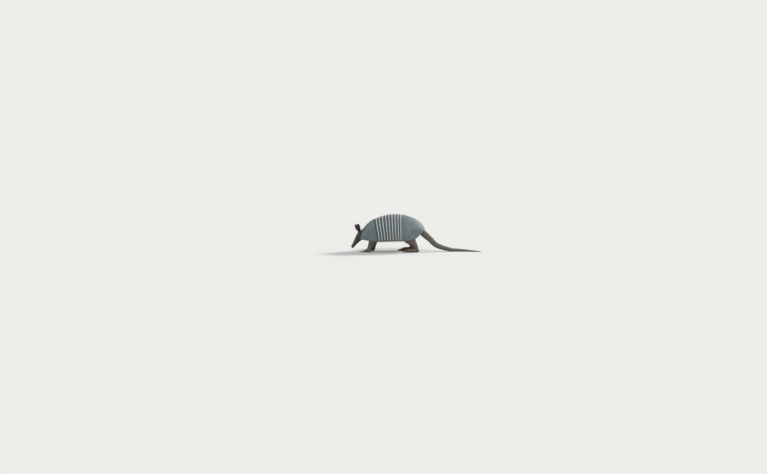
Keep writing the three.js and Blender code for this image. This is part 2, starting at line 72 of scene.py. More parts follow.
class Nodes:
    """A tree of shader nodes, with short ways to add to it. Each way gives the socket that comes out."""

    def __init__(self, tree):
        self.tree = tree

    def put(self, value, socket):
        """Links a socket to another one, or sets it to a plain value."""
        if isinstance(value, bpy.types.NodeSocket):
            self.tree.links.new(value, socket)
        else:
            socket.default_value = value

    def add(self, kind, inputs=(), out=0, **settings):
        """One node with its settings and its inputs, which go by name or number."""
        made = self.tree.nodes.new("ShaderNode" + kind)
        for key, value in settings.items():
            setattr(made, key, value)
        for key, value in dict(inputs).items():
            self.put(value, made.inputs[key])
        return made.outputs[out]

    def mix(self, factor, first, second):
        """The mix of two colours."""
        return self.add("Mix", {0: factor, 6: first, 7: second}, 2, data_type="RGBA")

    def spread(self, value, low, high, to_low=0.0, to_high=1.0):
        """A value stretched from one range to another and held inside it."""
        return self.add("MapRange", {0: value, 1: low, 2: high, 3: to_low, 4: to_high})

    def math(self, operation, first, second):
        """A sum, product or other operation on two values."""
        return self.add("Math", {0: first, 1: second}, operation=operation)

    def place(self):
        """Where a point lies in the piece."""
        return self.add("TexCoord", out="Object")

    def noise(self, scale, detail=2.0, rough=0.5, out="Fac"):
        """Noise of a scale."""
        inputs = {"Vector": self.place(), "Scale": scale, "Detail": detail, "Roughness": rough}
        return self.add("TexNoise", inputs, out)

    def cells(self, scale, feature="F1", place=None):
        """How far a point lies from the middle, or from the edge, of its cell in a pattern of cells."""
        inputs = {"Vector": place or self.place(), "Scale": scale}
        return self.add("TexVoronoi", inputs, "Distance", feature=feature)

    def marks(self):
        """The three numbers that the vertices of a piece carry as their marks."""
        colour = self.add("Attribute", out="Color", attribute_name="marks")
        return self.add("SeparateColor", {0: colour}).node.outputs

    def shade(self, bump=(), **values):
        """Sets inputs of the material's shader. A bump is a height, its strength and its distance."""
        if bump:
            values["Normal"] = self.add("Bump", dict(zip(("Height", "Strength", "Distance"), bump)))
        for key, value in values.items():
            self.put(value, self.tree.nodes["Principled BSDF"].inputs[key.replace("_", " ")])


def material(name):
    """A new material and its nodes."""
    made = bpy.data.materials.new(name)
    made.use_nodes = True
    return made, Nodes(made.node_tree)


paper, look = material("floor paper")
look.shade(bump=(look.noise(900), 0.06, 0.0005), Base_Color=FLOOR_COLOUR, Roughness=0.9,
           Specular_IOR_Level=0.1)
bm = bmesh.new()
bmesh.ops.create_grid(bm, x_segments=2, y_segments=2, size=FLOOR_HALF)
floor = bpy.data.objects.new("floor", bpy.data.meshes.new("floor"))
bm.to_mesh(floor.data)
bm.free()
floor.data.materials.append(paper)
scene.collection.objects.link(floor)

world = bpy.data.worlds.new("studio")
world.use_nodes = True
look = Nodes(world.node_tree)
rays = look.add("LightPath").node.outputs
seen = look.math("MAXIMUM", rays["Is Camera Ray"], rays["Is Glossy Ray"])
seen = look.math("MAXIMUM", seen, rays["Is Transmission Ray"])
background = world.node_tree.nodes["Background"].inputs
look.put(SKY_COLOUR, background["Color"])
look.put(look.spread(seen, 0, 1, SKY, SKY_SEEN), background["Strength"])
scene.world = world


def sun(name, energy, spread, colour, elevation, azimuth):
    """A soft distant lamp. Azimuth 0 stands at the camera's side, and 90 at the tail's."""
    lamp = bpy.data.lights.new(name, "SUN")
    lamp.energy = energy
    lamp.angle = math.radians(spread)
    lamp.color = colour
    up, turn = math.radians(elevation), math.radians(azimuth)
    towards = Vector((math.sin(turn) * math.cos(up), -math.cos(turn) * math.cos(up), math.sin(up)))
    holder = bpy.data.objects.new(name, lamp)
    holder.rotation_euler = towards.to_track_quat("Z", "Y").to_euler()
    scene.collection.objects.link(holder)


sun("key lamp", 1.4, 30, (1, 0.99, 0.97), 50, 8)
sun("back lamp", 3.2, 14, (1, 0.97, 0.92), 30, 126)

# ---- carapace: its form ---------------------------------------------------------------------------
# A nine-banded armadillo's carapace is horn over bone: a shoulder shield, nine bands that slide under
# each other, and a hip shield. Its form is set out in millimetres at landmarks along the back: 0 is the
# rim at the neck, 2 the front of the first band, 4 the front of the hip shield and 8 the rim at the tail.
MM = 0.001
BACK = [(-155, 51, 126), (-131, 67, 149.5), (-103, 77, 167.5), (-33, 85, 190), (36, 87, 191.5),
        (83, 84, 180), (121, 75, 162.5), (148, 63, 140), (160, 49, 116)]  # x, half-width and z on top
EDGE = [(-176, 67), (-133, 61), (-85, 61), (-22, 64), (38, 66), (76, 67), (104, 70), (120, 76),
        (130, 85)]  # x and z of the lower edge
FIRST_BAND, HIP_SHIELD, TAIL_RIM = 2, 4, 8
ARCH_POWER = 0.85
ARCH_TUCK = 0.06
ARCH_STEPS = 721
ROWS, COLUMNS = 401, 401
LANDMARKS = np.linspace(0, TAIL_RIM, ROWS)
ACROSS = np.linspace(-1, 1, COLUMNS)
PLACE = Matrix.Translation((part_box("shoulder_shield")[0].x - EDGE[0][0] * MM, 0, 0)) @ Matrix.Scale(MM, 4)


def spline(points, places):
    """A smooth line through evenly spaced points."""
    points = np.asarray(points, float)
    ends = np.vstack([2 * points[0] - points[1], points, 2 * points[-1] - points[-2]])
    places = np.clip(places, 0, len(points) - 1)
    start = np.minimum(places.astype(int), len(points) - 2)
    t = (places - start)[..., None]
    a, b, c, d = (ends[start + k] for k in range(4))
    return 0.5 * (2 * b + (c - a) * t + (2 * a - 5 * b + 4 * c - d) * t**2 + (3 * b - 3 * c + d - a) * t**3)


def arch(landmark, angle):
    """The arch over the back, from angle 0 at the left edge to pi at the right one."""
    back, edge = spline(BACK, landmark), spline(EDGE, landmark)
    height = np.sin(angle) ** ARCH_POWER
    side = -np.sign(np.cos(angle)) * np.abs(np.cos(angle)) ** ARCH_POWER
    x = edge[..., 0] + (back[..., 0] - edge[..., 0]) * height
    y = side * back[..., 1] * (1 - ARCH_TUCK * (1 - height) ** 2)
    z = edge[..., 1] + (back[..., 2] - edge[..., 1]) * height
    return np.stack([x, y, z], -1)


def lengths(points):
    """How far along a line of points each one lies."""
    steps = np.linalg.norm(np.diff(points, axis=0), axis=-1)
    return np.concatenate([np.zeros((1,) + steps.shape[1:]), np.cumsum(steps, axis=0)])


surface = np.empty((ROWS, COLUMNS, 3))
for row, landmark in enumerate(LANDMARKS):
    line = arch(np.full(ARCH_STEPS, landmark), np.linspace(0, math.pi, ARCH_STEPS))
    far = lengths(line)
    for axis in range(3):
        surface[row, :, axis] = np.interp((ACROSS + 1) / 2 * far[-1], far, line[:, axis])
downwards = np.gradient(surface, LANDMARKS, axis=0)
sideways = np.gradient(surface, ACROSS, axis=1)
outwards = np.cross(downwards, sideways)
outwards /= np.linalg.norm(outwards, axis=-1, keepdims=True)

# ---- carapace: horn -------------------------------------------------------------------------------
# The horn of the scutes is grey and faintly blue, painted darker down in the grooves between them as
# painted shade, rubbed paler on their crowns, and cream at the rear of each band. It has a low sheen.


def paint(hex_colour):
    """A colour written as in a paint box, for a shader socket."""
    parts = [(hex_colour >> shift & 255) / 255 for shift in (16, 8, 0)]
    return [p / 12.92 if p <= 0.04045 else ((p + 0.055) / 1.055) ** 2.4 for p in parts] + [1]


def look_group(name, colours, numbers=()):
    """A node group that makes a colour, a roughness and a height of colours and numbers, and its sockets."""
    tree = bpy.data.node_groups.new(name, "ShaderNodeTree")
    sockets = [("INPUT", title, "Color") for title in colours]
    sockets += [("INPUT", title, "Float") for title in numbers]
    sockets += [("OUTPUT", "Color", "Color"), ("OUTPUT", "Roughness", "Float"), ("OUTPUT", "Height", "Float")]
    for way, title, kind in sockets:
        tree.interface.new_socket(title, in_out=way, socket_type="NodeSocket" + kind)
    start, end = tree.nodes.new("NodeGroupInput"), tree.nodes.new("NodeGroupOutput")
    return Nodes(tree), start.outputs[:-1], end.inputs


def from_group(name, look, strength, **values):
    """A material from a node group with values on its sockets, and a bump of its height."""
    made, look_of_it = material(name)
    group = look_of_it.tree.nodes.new("ShaderNodeGroup")
    group.node_tree = look.tree
    for title, value in values.items():
        group.inputs[title].default_value = value
    colour, roughness, height = group.outputs
    look_of_it.shade(Base_Color=colour, Roughness=roughness, bump=(height, strength, 0.0003))
    return made


# The marks on the horn say how high a point stands in its scute, the scute's own tone and how pale it is.
horn_look, sockets, made = look_group("worn horn", ("Horn", "Groove", "Pale"), ("Grain", "Wear", "Variety"))
base, groove, rubbed, grain, wear, variety = sockets
stand, tone, pale = horn_look.marks()
scale = horn_look.math("MULTIPLY", grain, 900)
fine = horn_look.noise(scale, 6, 0.65)
colour = horn_look.mix(horn_look.math("MULTIPLY", tone, variety), base, rubbed)
colour = horn_look.mix(horn_look.spread(horn_look.noise(38, 4, 0.6), 0.38, 0.7, 0, 0.5), colour, groove)
colour = horn_look.mix(horn_look.spread(horn_look.noise(11, 3), 0.42, 0.66, 0, 0.3), colour, groove)
colour = horn_look.mix(pale, colour, rubbed)
crowns = horn_look.math("MULTIPLY", horn_look.spread(stand, 0.8, 1), horn_look.spread(fine, 0.45, 0.7))
colour = horn_look.mix(horn_look.math("MULTIPLY", crowns, wear), colour, rubbed)
# Painted shade: the lower a point stands in its scute, the more it takes of the groove colour.
colour = horn_look.mix(horn_look.spread(stand, 0.1, 0.75, 1, 0), colour, groove)
pores = horn_look.spread(horn_look.cells(scale), 0, 0.35, -0.5, 0)
horn_look.put(colour, made["Color"])
horn_look.put(horn_look.spread(fine, 0.3, 0.75, 0.42, 0.68), made["Roughness"])
horn_look.put(horn_look.math("ADD", fine, pores), made["Height"])


def horn(name, colour, groove, pale, grain=1.0, wear=0.5, variety=0.4):
    """Horn in three colours. The second darkens it in blotches, and in the grooves as painted shade."""
    return from_group(name, horn_look, 0.35, Horn=paint(colour), Groove=paint(groove), Pale=paint(pale),
                      Grain=grain, Wear=wear, Variety=variety)


shield_horn = horn("shield horn", 0x68767A, 0x384043, 0x96A5A8, variety=0.45)
band_horn = horn("band horn", 0x2C373B, 0x181E20, 0xD9E5E6, wear=0.2, variety=0.1)

# ---- carapace: shields ----------------------------------------------------------------------------
# The shields are covered with rosettes: a rounded scute about 5 mm across, ringed by small granules.
# They are set out as rows of seeds, joined up as triangles, and turned into cells around the corners.
SCUTE_PITCH = 7.4
SCUTE_GROWTH = 1.42  # how much a large scute grows over the granules round it
SCUTE_STRAY = 0.09  # how far the corners between scutes stray
SHIELD_THICKNESS = 3.2
SCUTE_STEPS = ((0.12, 0.42), (0.2, 0.16), (0.42, 0.06))  # drawn in and risen, from the groove to the crown
GRANULE_STEPS = ((0.2, 0.3), (0.35, 0.1))
SHIELDS = (("shoulder_shield", FIRST_BAND, 0, [(0, -1.2), (0.2, -0.3), (1.8, -0.3), (2, 0.2)]),
           ("hip_shield", HIP_SHIELD - 0.03, TAIL_RIM, [(3.97, -2.6), (4.03, -0.7), (4.2, -0.3), (8, -0.5)]))
chance = np.random.default_rng(9)


def on_grid(values, landmark, across):
    """Values of the carapace's grid at any landmark and place across it, -1 at the left edge."""
    row = np.clip(np.asarray(landmark) / TAIL_RIM * (ROWS - 1), 0, ROWS - 1.001)
    column = np.clip((np.asarray(across) + 1) / 2 * (COLUMNS - 1), 0, COLUMNS - 1.001)
    i, j = row.astype(int), column.astype(int)
    p, q = (row - i)[..., None], (column - j)[..., None]
    return (values[i, j] * (1 - p) * (1 - q) + values[i + 1, j] * p * (1 - q)
            + values[i, j + 1] * (1 - p) * q + values[i + 1, j + 1] * p * q)


class Chart:
    """A flat chart of the carapace that starts at one rim: each of its lines is parallel to that rim, a
    distance behind it, and is measured from its middle."""

    def __init__(self, first, last):
        self.first, self.last = first, last
        way = math.copysign(1, last - first)
        step = 0.5
        line = np.full(COLUMNS, float(first))
        self.lines = [line]
        while (way * (last - line) > 0).any():
            held = np.clip(line, 0, TAIL_RIM)
            along, over = on_grid(downwards, held, ACROSS), on_grid(sideways, held, ACROSS)
            run = over + along * np.gradient(line, ACROSS)[:, None]
            run /= np.linalg.norm(run, axis=1)[:, None]
            ahead = np.linalg.norm(along - run * (along * run).sum(axis=1)[:, None], axis=1)
            line = line + way * step / ahead
            line = (line + (line + line[::-1]) / 2) / 2
            line[1:-1] = line[1:-1] * 0.5 + (line[2:] + line[:-2]) * 0.25
            self.lines.append(line)
        self.lines = np.array(self.lines)
        self.levels = np.arange(len(self.lines)) * step
        far = np.array([lengths(on_grid(surface, line, ACROSS)) for line in self.lines])
        self.far = far - far[:, COLUMNS // 2, None]

    def on_level(self, distance):
        """The landmarks and the lengths across of the line at a distance."""
        place = np.clip(distance / self.levels[1], 0, len(self.levels) - 1.001)
        row, part = int(place), place % 1
        return [g[row] * (1 - part) + g[row + 1] * part for g in (self.lines, self.far)]

    def flat(self, mark, w):
        """The chart's place of a landmark and a share across."""
        column = self.lines[:, int(round((w + 1) / 2 * (COLUMNS - 1)))]
        distance = np.interp(abs(mark - self.first), np.abs(column - self.first), self.levels)
        return distance, np.interp(w, ACROSS, self.on_level(distance)[1])

    def lift_off(self, distance, place):
        """The landmark and the share across of a place on the chart."""
        line, far = self.on_level(distance)
        w = np.interp(place, far, ACROSS)
        return np.interp(w, ACROSS, line), w

    def seeds(self, pitch):
        """Seeds of rosettes in rows parallel to the first rim, those on the rims first, and their number."""
        corners = np.array([(self.first, -1), (self.first, 1), (self.last, 1), (self.last, -1)], float)
        places = []
        for a, b in zip(corners, np.roll(corners, -1, axis=0)):
            side = lengths(on_grid(surface, *np.linspace(a, b, 200).T))[-1]
            places += list(np.linspace(a, b, max(2, round(side / pitch)) + 1)[:-1])
        seeds = [self.flat(mark, w) for mark, w in places]
        rise = pitch * math.sqrt(0.75)
        for row in range(1, int(self.levels[-1] / rise) + 1):
            far = self.on_level(row * rise)[1]
            most = int(far[-1] / pitch) + 2
            steps = (np.arange(-most, most + 1) + 0.5 * (row % 2)) * pitch
            for place in steps[np.abs(steps) < far[-1] - pitch * 0.5]:
                w = self.lift_off(row * rise, place)[1]
                if self.flat(self.last, w)[0] - row * rise > pitch * 0.55:
                    seeds.append((row * rise, place))
        return seeds, len(places)


def near_points(points):
    """A tree that finds the nearest of some points."""
    tree = kdtree.KDTree(len(points))
    for index, point in enumerate(points):
        tree.insert(point, index)
    tree.balance()
    return tree


on_surface = near_points(surface.reshape(-1, 3))


def nearest_shell(point):
    """The row and the column of the carapace's grid nearest to a point, and the way out there."""
    row, column = divmod(on_surface.find(point)[1], COLUMNS)
    return row, column, Vector(outwards[row, column])


def smoothed(bm, verts, rounds=1):
    """Evens vertices out over their neighbours."""
    for _ in range(rounds):
        bmesh.ops.smooth_vert(bm, verts=verts, factor=0.5, use_axis_x=True, use_axis_y=True, use_axis_z=True)


def triangles(chart, pitch, rounds=8):
    """The rosettes' seeds joined up as triangles on the carapace, and evened out."""
    seeds, rim = chart.seeds(pitch)
    loop = [(i, (i + 1) % rim) for i in range(rim)]
    seeds, _, faces, _, _, _ = geometry.delaunay_2d_cdt(
        [Vector(seed) for seed in seeds], loop, [list(range(rim))], 1, 1e-4)
    at = np.array([chart.lift_off(*seed) for seed in seeds])
    bm = bmesh.new()
    corners = [bm.verts.new(p) for p in on_grid(surface, at[:, 0], at[:, 1])]
    for face in faces:
        bm.faces.new([corners[i] for i in face])
    bmesh.ops.dissolve_degenerate(bm, edges=bm.edges, dist=pitch * 0.2)
    for _ in range(rounds):
        bmesh.ops.beautify_fill(bm, faces=bm.faces, edges=bm.edges, method="ANGLE")
        inner = [v for v in bm.verts if not v.is_boundary]
        smoothed(bm, inner)
        for vert in inner:
            row, column, out = nearest_shell(vert.co)
            vert.co -= out * (vert.co - Vector(surface[row, column])).dot(out)
    return bm


def geometry_chain(*steps):
    """Geometry nodes in a row, each a kind of node and the values of its inputs."""
    tree = bpy.data.node_groups.new("chain", "GeometryNodeTree")
    for way in ("INPUT", "OUTPUT"):
        tree.interface.new_socket("Mesh", in_out=way, socket_type="NodeSocketGeometry")
    flow = tree.nodes.new("NodeGroupInput").outputs[0]
    for kind, values in steps:
        node = tree.nodes.new("GeometryNode" + kind)
        tree.links.new(flow, node.inputs[0])
        for key, value in values.items():
            node.inputs[key].default_value = value
        flow = node.outputs[0]
    tree.links.new(flow, tree.nodes.new("NodeGroupOutput").inputs[0])
    return tree


def modified(bm, kind, **settings):
    """A mesh after one modifier, which may read the weights of its vertices."""
    mesh = bpy.data.meshes.new("raw")
    bm.to_mesh(mesh)
    bm.free()
    holder = bpy.data.objects.new("raw", mesh)
    if "vertex_group" in settings:
        holder.vertex_groups.new(name=settings["vertex_group"])
    scene.collection.objects.link(holder)
    modifier = holder.modifiers.new("once", kind)
    for key, value in settings.items():
        setattr(modifier, key, value)
    bm = bmesh.new()
    bm.from_object(holder, bpy.context.evaluated_depsgraph_get())
    bpy.data.objects.remove(holder)
    bpy.data.meshes.remove(mesh)
    if "node_group" in settings:
        bpy.data.node_groups.remove(settings["node_group"])
    return bm


def marked(bm, marks=(0, 0.5, 0)):
    """Gives all vertices the same marks, and returns the layer that holds them."""
    layer = bm.verts.layers.float_color.get("marks") or bm.verts.layers.float_color.new("marks")
    for vert in bm.verts:
        vert[layer] = (*marks, 1)
    return layer


def raise_cells(bm, faces, steps, pale=0.0):
    """Raises each cell out of its groove in steps, each drawn in by a share and risen by so much, and
    marks its height, its own tone and its paleness. A small cell rises less."""
    layer = bm.verts.layers.float_color["marks"]
    rises = np.sqrt([face.calc_area() for face in faces])
    rises = np.minimum(rises / np.median(rises), 1)
    tones = chance.random(len(faces))
    for step, (share, rise) in enumerate(steps):
        bmesh.ops.inset_individual(bm, faces=faces, thickness=0.001)
        for face, part, tone in zip(faces, rises, tones):
            centre, up = face.calc_center_median(), face.normal * rise * part
            last = step == len(steps) - 1
            for vert in face.verts:
                vert.co = centre + (vert.co - centre) * (1 - share) + up
                vert[layer] = ((step + 2) / (len(steps) + 1), tone if last else 0.5, pale, 1)


def rosette_plate(bm):
    """A plate of horn covered with rosettes, from triangles between their middles. The cells round the
    triangles' corners are large, and those round the middles of their edges small."""
    count = len(bm.verts)
    bmesh.ops.recalc_face_normals(bm, faces=bm.faces)
    bmesh.ops.subdivide_edges(bm, edges=bm.edges, cuts=1, use_grid_fill=True)
    large = bm.verts.layers.int.new("large")
    for index, vert in enumerate(bm.verts):
        vert[large] = int(index < count)
    bm = modified(bm, "NODES", node_group=geometry_chain(("DualMesh", {"Keep Boundaries": True})))
    large = bm.faces.layers.int["large"]
    for face in bm.faces:
        if face[large]:
            rim = [v for v in face.verts if v.is_boundary
                   and all(e.link_faces[0] == face for e in v.link_edges if e.is_boundary)]
            centre = rim[0].co.copy() if rim else face.calc_center_median()
            for vert in face.verts:
                vert.co = centre + (vert.co - centre) * SCUTE_GROWTH
    for vert in bm.verts:
        if not vert.is_boundary:
            vert.co += Vector(chance.normal(0, SCUTE_STRAY, 3))
    tops = list(bm.faces)
    bmesh.ops.solidify(bm, geom=tops, thickness=SHIELD_THICKNESS)
    marked(bm)
    raise_cells(bm, [f for f in tops if f[large]], SCUTE_STEPS)
    raise_cells(bm, [f for f in tops if not f[large]], GRANULE_STEPS)
    return bm


def piece(name, bm, look, slot, *replaced):
    """A finished piece in the frame's place and unit, riding on the animal."""
    bmesh.ops.transform(bm, matrix=PLACE, verts=bm.verts)
    made = bpy.data.objects.new(name, bpy.data.meshes.new(name))
    bm.to_mesh(made.data)
    bm.free()
    made.data.shade_smooth()
    made.data.materials.append(look)
    scene.collection.objects.link(made)
    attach(made, "root")
    if replaced:
        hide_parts(*replaced)


for name, first, last, lifts in SHIELDS:
    bm = triangles(Chart(first, last), SCUTE_PITCH)
    for vert in bm.verts:
        row, _, out = nearest_shell(vert.co)
        vert.co += out * np.interp(LANDMARKS[row], *np.transpose(lifts))
    piece(f"{name}_scutes", rosette_plate(bm), shield_horn, "shell", name)

# ---- carapace: bands ------------------------------------------------------------------------------
# Each of the nine bands is a hoop of bone under long wedge-shaped scutes that point forwards and back by
# turns. Its front slides under the plate before it, and its rear edge stands proud and pale.
BAND_COUNT = 9
BAND_SHARE = (HIP_SHIELD - FIRST_BAND) / BAND_COUNT
WEDGES = 58
BAND_FRONT = ((0.4, -1.1), (-1.3, -2.5), (-1.4, -3.7))  # along and lift, from the scutes forwards
BAND_REAR = ((-0.9, 0.1), (-0.35, 0.0), (0.0, -0.35), (-0.05, -1.1), (-0.5, -1.5), (-3, -3.7))
SCUTES_FROM, SCUTES_TO = 1.9, -1.7  # behind the front of the band, and before its rear
WEDGE_SWELL = 0.26
BAND_SAG, BAND_FLARE = 0.3, 0.35  # how far a band sags behind its front, and flares at its rear
EDGE_PALE = ((-5, -2.6, 0), (0, 0.75, 1))  # before the rear, and how pale
EDGE_WEAR, EDGE_WEAR_SIZE = 0.25, 3.5
WEDGE_STEPS = ((0.09, 0.4), (0.12, 0.22), (0.25, 0.14))
BETWEEN_STEPS = ((0.07, 0.36), (0.08, 0.14))
BETWEEN_PALE = 0.22


def shell(landmark, across, lift):
    """A point of the carapace, lifted off its surface."""
    outward = on_grid(outwards, landmark, across)
    return on_grid(surface, landmark, across) + outward * np.asarray(lift)[..., None]


def wedge_sheet(half, first, last):
    """A flat strip of wedges, with sides that swell between its front and its rear."""
    bm = bmesh.new()
    bmesh.ops.create_grid(bm, x_segments=1, y_segments=WEDGES, size=0.5)
    for vert in bm.verts:
        rear = vert.co.x > 0
        y = vert.co.y * 2 * half
        if rear and abs(y) < half - 1:
            y += half / WEDGES
        vert.co = (last if rear else first, y, 0)
    bmesh.ops.triangulate(bm, faces=bm.faces, quad_method="SHORT_EDGE")
    for slant in [e for e in bm.edges if abs(e.verts[0].co.x - e.verts[1].co.x) > 1]:
        low, high = sorted(slant.verts, key=lambda v: v.co.x)
        way = math.copysign(half / WEDGES, low.co.y - high.co.y)
        for part in (1 / 4, 1 / 3, 1 / 2):
            slant, low = bmesh.utils.edge_split(slant, low, part)
            if low not in slant.verts or high not in slant.verts:
                slant = next(e for e in low.link_edges if high in e.verts)
            low.co.y += way * WEDGE_SWELL * math.sin(math.pi * (low.co.x - first) / (last - first))
    return bm


for index in range(BAND_COUNT):
    front = FIRST_BAND + index * BAND_SHARE
    half = lengths(on_grid(surface, np.full(COLUMNS, front + BAND_SHARE / 2), ACROSS))[-1] / 2
    length = np.linalg.norm(shell(front, 0.4, 0) - shell(front + BAND_SHARE, 0.4, 0))
    first, last = SCUTES_FROM, length + SCUTES_TO
    bm = wedge_sheet(half, first, last)
    wedges = list(bm.faces)
    layer = marked(bm)
    ends = []
    for x, profile in ((first, BAND_FRONT), (last, BAND_REAR)):
        line = [e for e in bm.edges if all(abs(v.co.x - x) < 1e-4 and abs(v.co.z) < 1e-4 for v in e.verts)]
        for along, lift in profile:
            made = bmesh.ops.extrude_edge_only(bm, edges=line)["geom"]
            for vert in (v for v in made if isinstance(v, bmesh.types.BMVert)):
                vert.co.x = along if x == first else length + along
                vert.co.z = lift
                # The front of the band, which slides under the plate before it, and the underside of its rear
                # lip are marked low, so they take the groove colour as painted shade.
                vert[layer] = (1.0 if x > first and lift > -1.2 else 0.0, 0.4, 0.8, 1)
            line = [e for e in made if isinstance(e, bmesh.types.BMEdge)]
        ends += line
    bmesh.ops.bridge_loops(bm, edges=ends)
    bmesh.ops.holes_fill(bm, edges=[e for e in bm.edges if e.is_boundary], sides=0)
    bmesh.ops.recalc_face_normals(bm, faces=bm.faces)
    if bm.calc_volume(signed=True) < 0:
        bmesh.ops.reverse_faces(bm, faces=bm.faces)
    rear_based = [f for f in wedges if sum(v.co.x > last - 0.01 for v in f.verts) == 2]
    front_based = [f for f in wedges if f not in set(rear_based)]
    raise_cells(bm, rear_based, BETWEEN_STEPS, BETWEEN_PALE)
    raise_cells(bm, front_based, WEDGE_STEPS)
    flat = np.array([v.co for v in bm.verts])
    flat[:, 2] += np.interp(flat[:, 0], (-2, 2, length * 0.6, length), (0, -BAND_SAG, 0, BAND_FLARE))
    bent = shell(front + flat[:, 0] / length * BAND_SHARE, flat[:, 1] / half, flat[:, 2])
    rears = np.interp(flat[:, 0] - length, *EDGE_PALE)
    for vert, place, rear in zip(bm.verts, bent, rears):
        vert.co = place
        raised, tone, pale, _ = vert[layer]
        worn = 0.93 + EDGE_WEAR * noise.noise(Vector(place) / EDGE_WEAR_SIZE)
        vert[layer] = (max(raised, rear), tone, max(pale, rear * worn), 1)
    piece(f"band_{index + 1}_scutes", bm, band_horn, "band", f"band_{index + 1}")

# ---- skin: its form -------------------------------------------------------------------------------
# One tough hide, hardly haired, covers the trunk inside the carapace, the neck, head and ears, and the
# legs and feet. Its forms are rolled up part by part, grown together, and then wrinkled and folded.
HIDE = -5.6  # how far inside the top of the carapace the trunk's hide lies
TRUNK_SIZES = ((0.8, 1.1, 1.55, 6, 6.6, 7.15, 7.65, 7.88, 8), (0.6, 0.88, 1, 1, 0.99, 0.95, 0.9, 0.76, 0.64))
TRUNK_RINGS, TRUNK_SIDES, BELLY_SIDES = 60, 60, 30
BELLY_SAG = 11
RUMP = [(104, 0, 110, 48, 32), (122, 0, 111, 40, 26), (133, 0, 108.5, 28, 21), (141, 0, 104.5, 20, 18),
        (148, 0, 98.7, 16.4, 16.4), (156, 0, 91.5, 15.6, 15.6)]
NECK = [(-108, 0, 99, 44, 40), (-134, 0, 98, 35, 33), (-151, 0, 93.5, 26, 26), (-167, 0, 84, 21, 21)]
HEAD_PITCH = math.radians(54)
HEAD_PLACE = Matrix.Translation((-158, 0, 102)) @ Matrix.Rotation(-HEAD_PITCH, 4, "Y")
TO_HEAD = HEAD_PLACE.inverted()
HEAD_POWER = 0.94
HEAD_SIDES, HEAD_RINGS = 64, 70
JAW_NARROWING = 0.16
HEAD = [(-7, 4, -10, 8), (-3, 11, -18, 15), (4, 16.5, -22.5, 20), (16, 20, -24, 22), (30, 20, -22, 21.5),
        (44, 17, -17.5, 18.5), (58, 13.5, -13, 13.5), (74, 10.5, -9.8, 10), (88, 8.6, -8, 8.4),
        (97, 7.8, -6.8, 7.6)]  # along the snout, top, bottom and half-width
EAR = [(-6, 5.6, 150), (6, 7.6, 140), (15, 10, 112), (26, 11.6, 92), (36, 10.4, 82), (42.5, 7.2, 76),
       (44.6, 3.4, 70)]  # height, radius and how far round it rolls, in degrees
EAR_WALL = 2.4
EAR_GROWTH = 0.35
EAR_ROOT = -9, 12.5, 15
EAR_LEAN = {-1: math.radians(40), 1: math.radians(18)}
EAR_TILT, EAR_TURN = math.radians(14), math.radians(38)
EAR_SIDES, EAR_RINGS = 30, 40
FORE_LEG = [(-108, 43, 84, 21, 28), (-106, 46, 62, 17.5, 22), (-111, 46, 43, 12.5, 15.5),
            (-117, 45, 24, 9.8, 11), (-118, 45, 10, 10.4, 10)]
HIND_LEG = [(80, 44, 98, 30, 40), (78, 49, 76, 26, 36), (88, 51, 55, 17.5, 23), (100, 50, 38, 11.5, 14),
            (106, 50, 20, 9.6, 11), (105, 50, 10, 10, 10)]
STRIDES = {("fore", -1): -9, ("fore", 1): 12, ("hind", -1): 8, ("hind", 1): -13}
FORE_FOOT = {"at": 45, "palm": (-125, 8.6, 16, 13.5, 9.4), "toes_from": -127, "toes": [
    (-9.6, 16, 3.8, 10), (-3.7, 22, 4.8, 18), (3.6, 21, 4.8, 17), (10, 13, 3.7, 9)]}
HIND_FOOT = {"at": 50, "palm": (88, 9, 34, 14, 10), "toes_from": 66, "toes": [
    (-11.6, 7, 3.6, 9), (-6.2, 16, 4.4, 13), (0, 20, 4.7, 15), (6.2, 16, 4.3, 13), (11.4, 5, 3.5, 9)]}
LIMBS = {"fore": (FORE_LEG, FORE_FOOT), "hind": (HIND_LEG, HIND_FOOT)}
SIDES = {-1: "left", 1: "right"}
TOE_SPLAY = 0.14
KNUCKLES = ((0, 1, 0), (0.3, 1, 1.2), (0.5, 1.08, 1.8), (0.7, 0.93, 1.0), (0.86, 1, 0.5), (0.97, 0.9, 0),
            (1, 0.6, 0))  # along a toe, size and rise
FOOT_STEPS, TOE_SIDES = 24, 20
VOXEL = 1.0
HIDE_ROUNDS, EAR_ROUNDS = 5, 24
HIDDEN_ABOVE, NECK_HIDDEN = 4, -138  # over the carapace's edge, and behind this on the neck
BELLY_THINNING, THINNED_SHARE = 0.3, 0.955


def rolled(rings):
    """A closed form through rings of points."""
    rings = np.asarray(rings)
    rows, sides = rings.shape[:2]
    bm = bmesh.new()
    bmesh.ops.create_grid(bm, x_segments=sides, y_segments=rows - 1, size=1)
    for index, vert in enumerate(bm.verts):
        row, side = divmod(index, sides + 1)
        vert.co = rings[row, side % sides]
    bmesh.ops.remove_doubles(bm, verts=bm.verts, dist=1e-4)
    bmesh.ops.holes_fill(bm, edges=[e for e in bm.edges if e.is_boundary], sides=0)
    bmesh.ops.recalc_face_normals(bm, faces=bm.faces)
    return bm


def rings_round(middles, ways, wide, deep, sides):
    """Rings round the middles, square to the ways on, with half-widths and half-depths."""
    ways = ways / np.linalg.norm(ways, axis=1)[:, None]
    across = np.array((0, 1, 0)) - ways * ways[:, 1:2]
    across /= np.linalg.norm(across, axis=1)[:, None]
    turn = np.linspace(0, 2 * math.pi, sides, endpoint=False)[None, :, None]
    return (middles[:, None] + across[:, None] * np.cos(turn) * np.reshape(wide, (-1, 1, 1))
            + np.cross(ways, across)[:, None] * np.sin(turn) * np.reshape(deep, (-1, 1, 1)))


def tube(rows, sides=40, steps=40):
    """Rings round the smooth line through rows of x, y, z, half-width and half-depth."""
    rows = spline(rows, np.linspace(0, len(rows) - 1, steps))
    return rings_round(rows[:, :3], np.gradient(rows[:, :3], axis=0), rows[:, 3], rows[:, 4], sides)


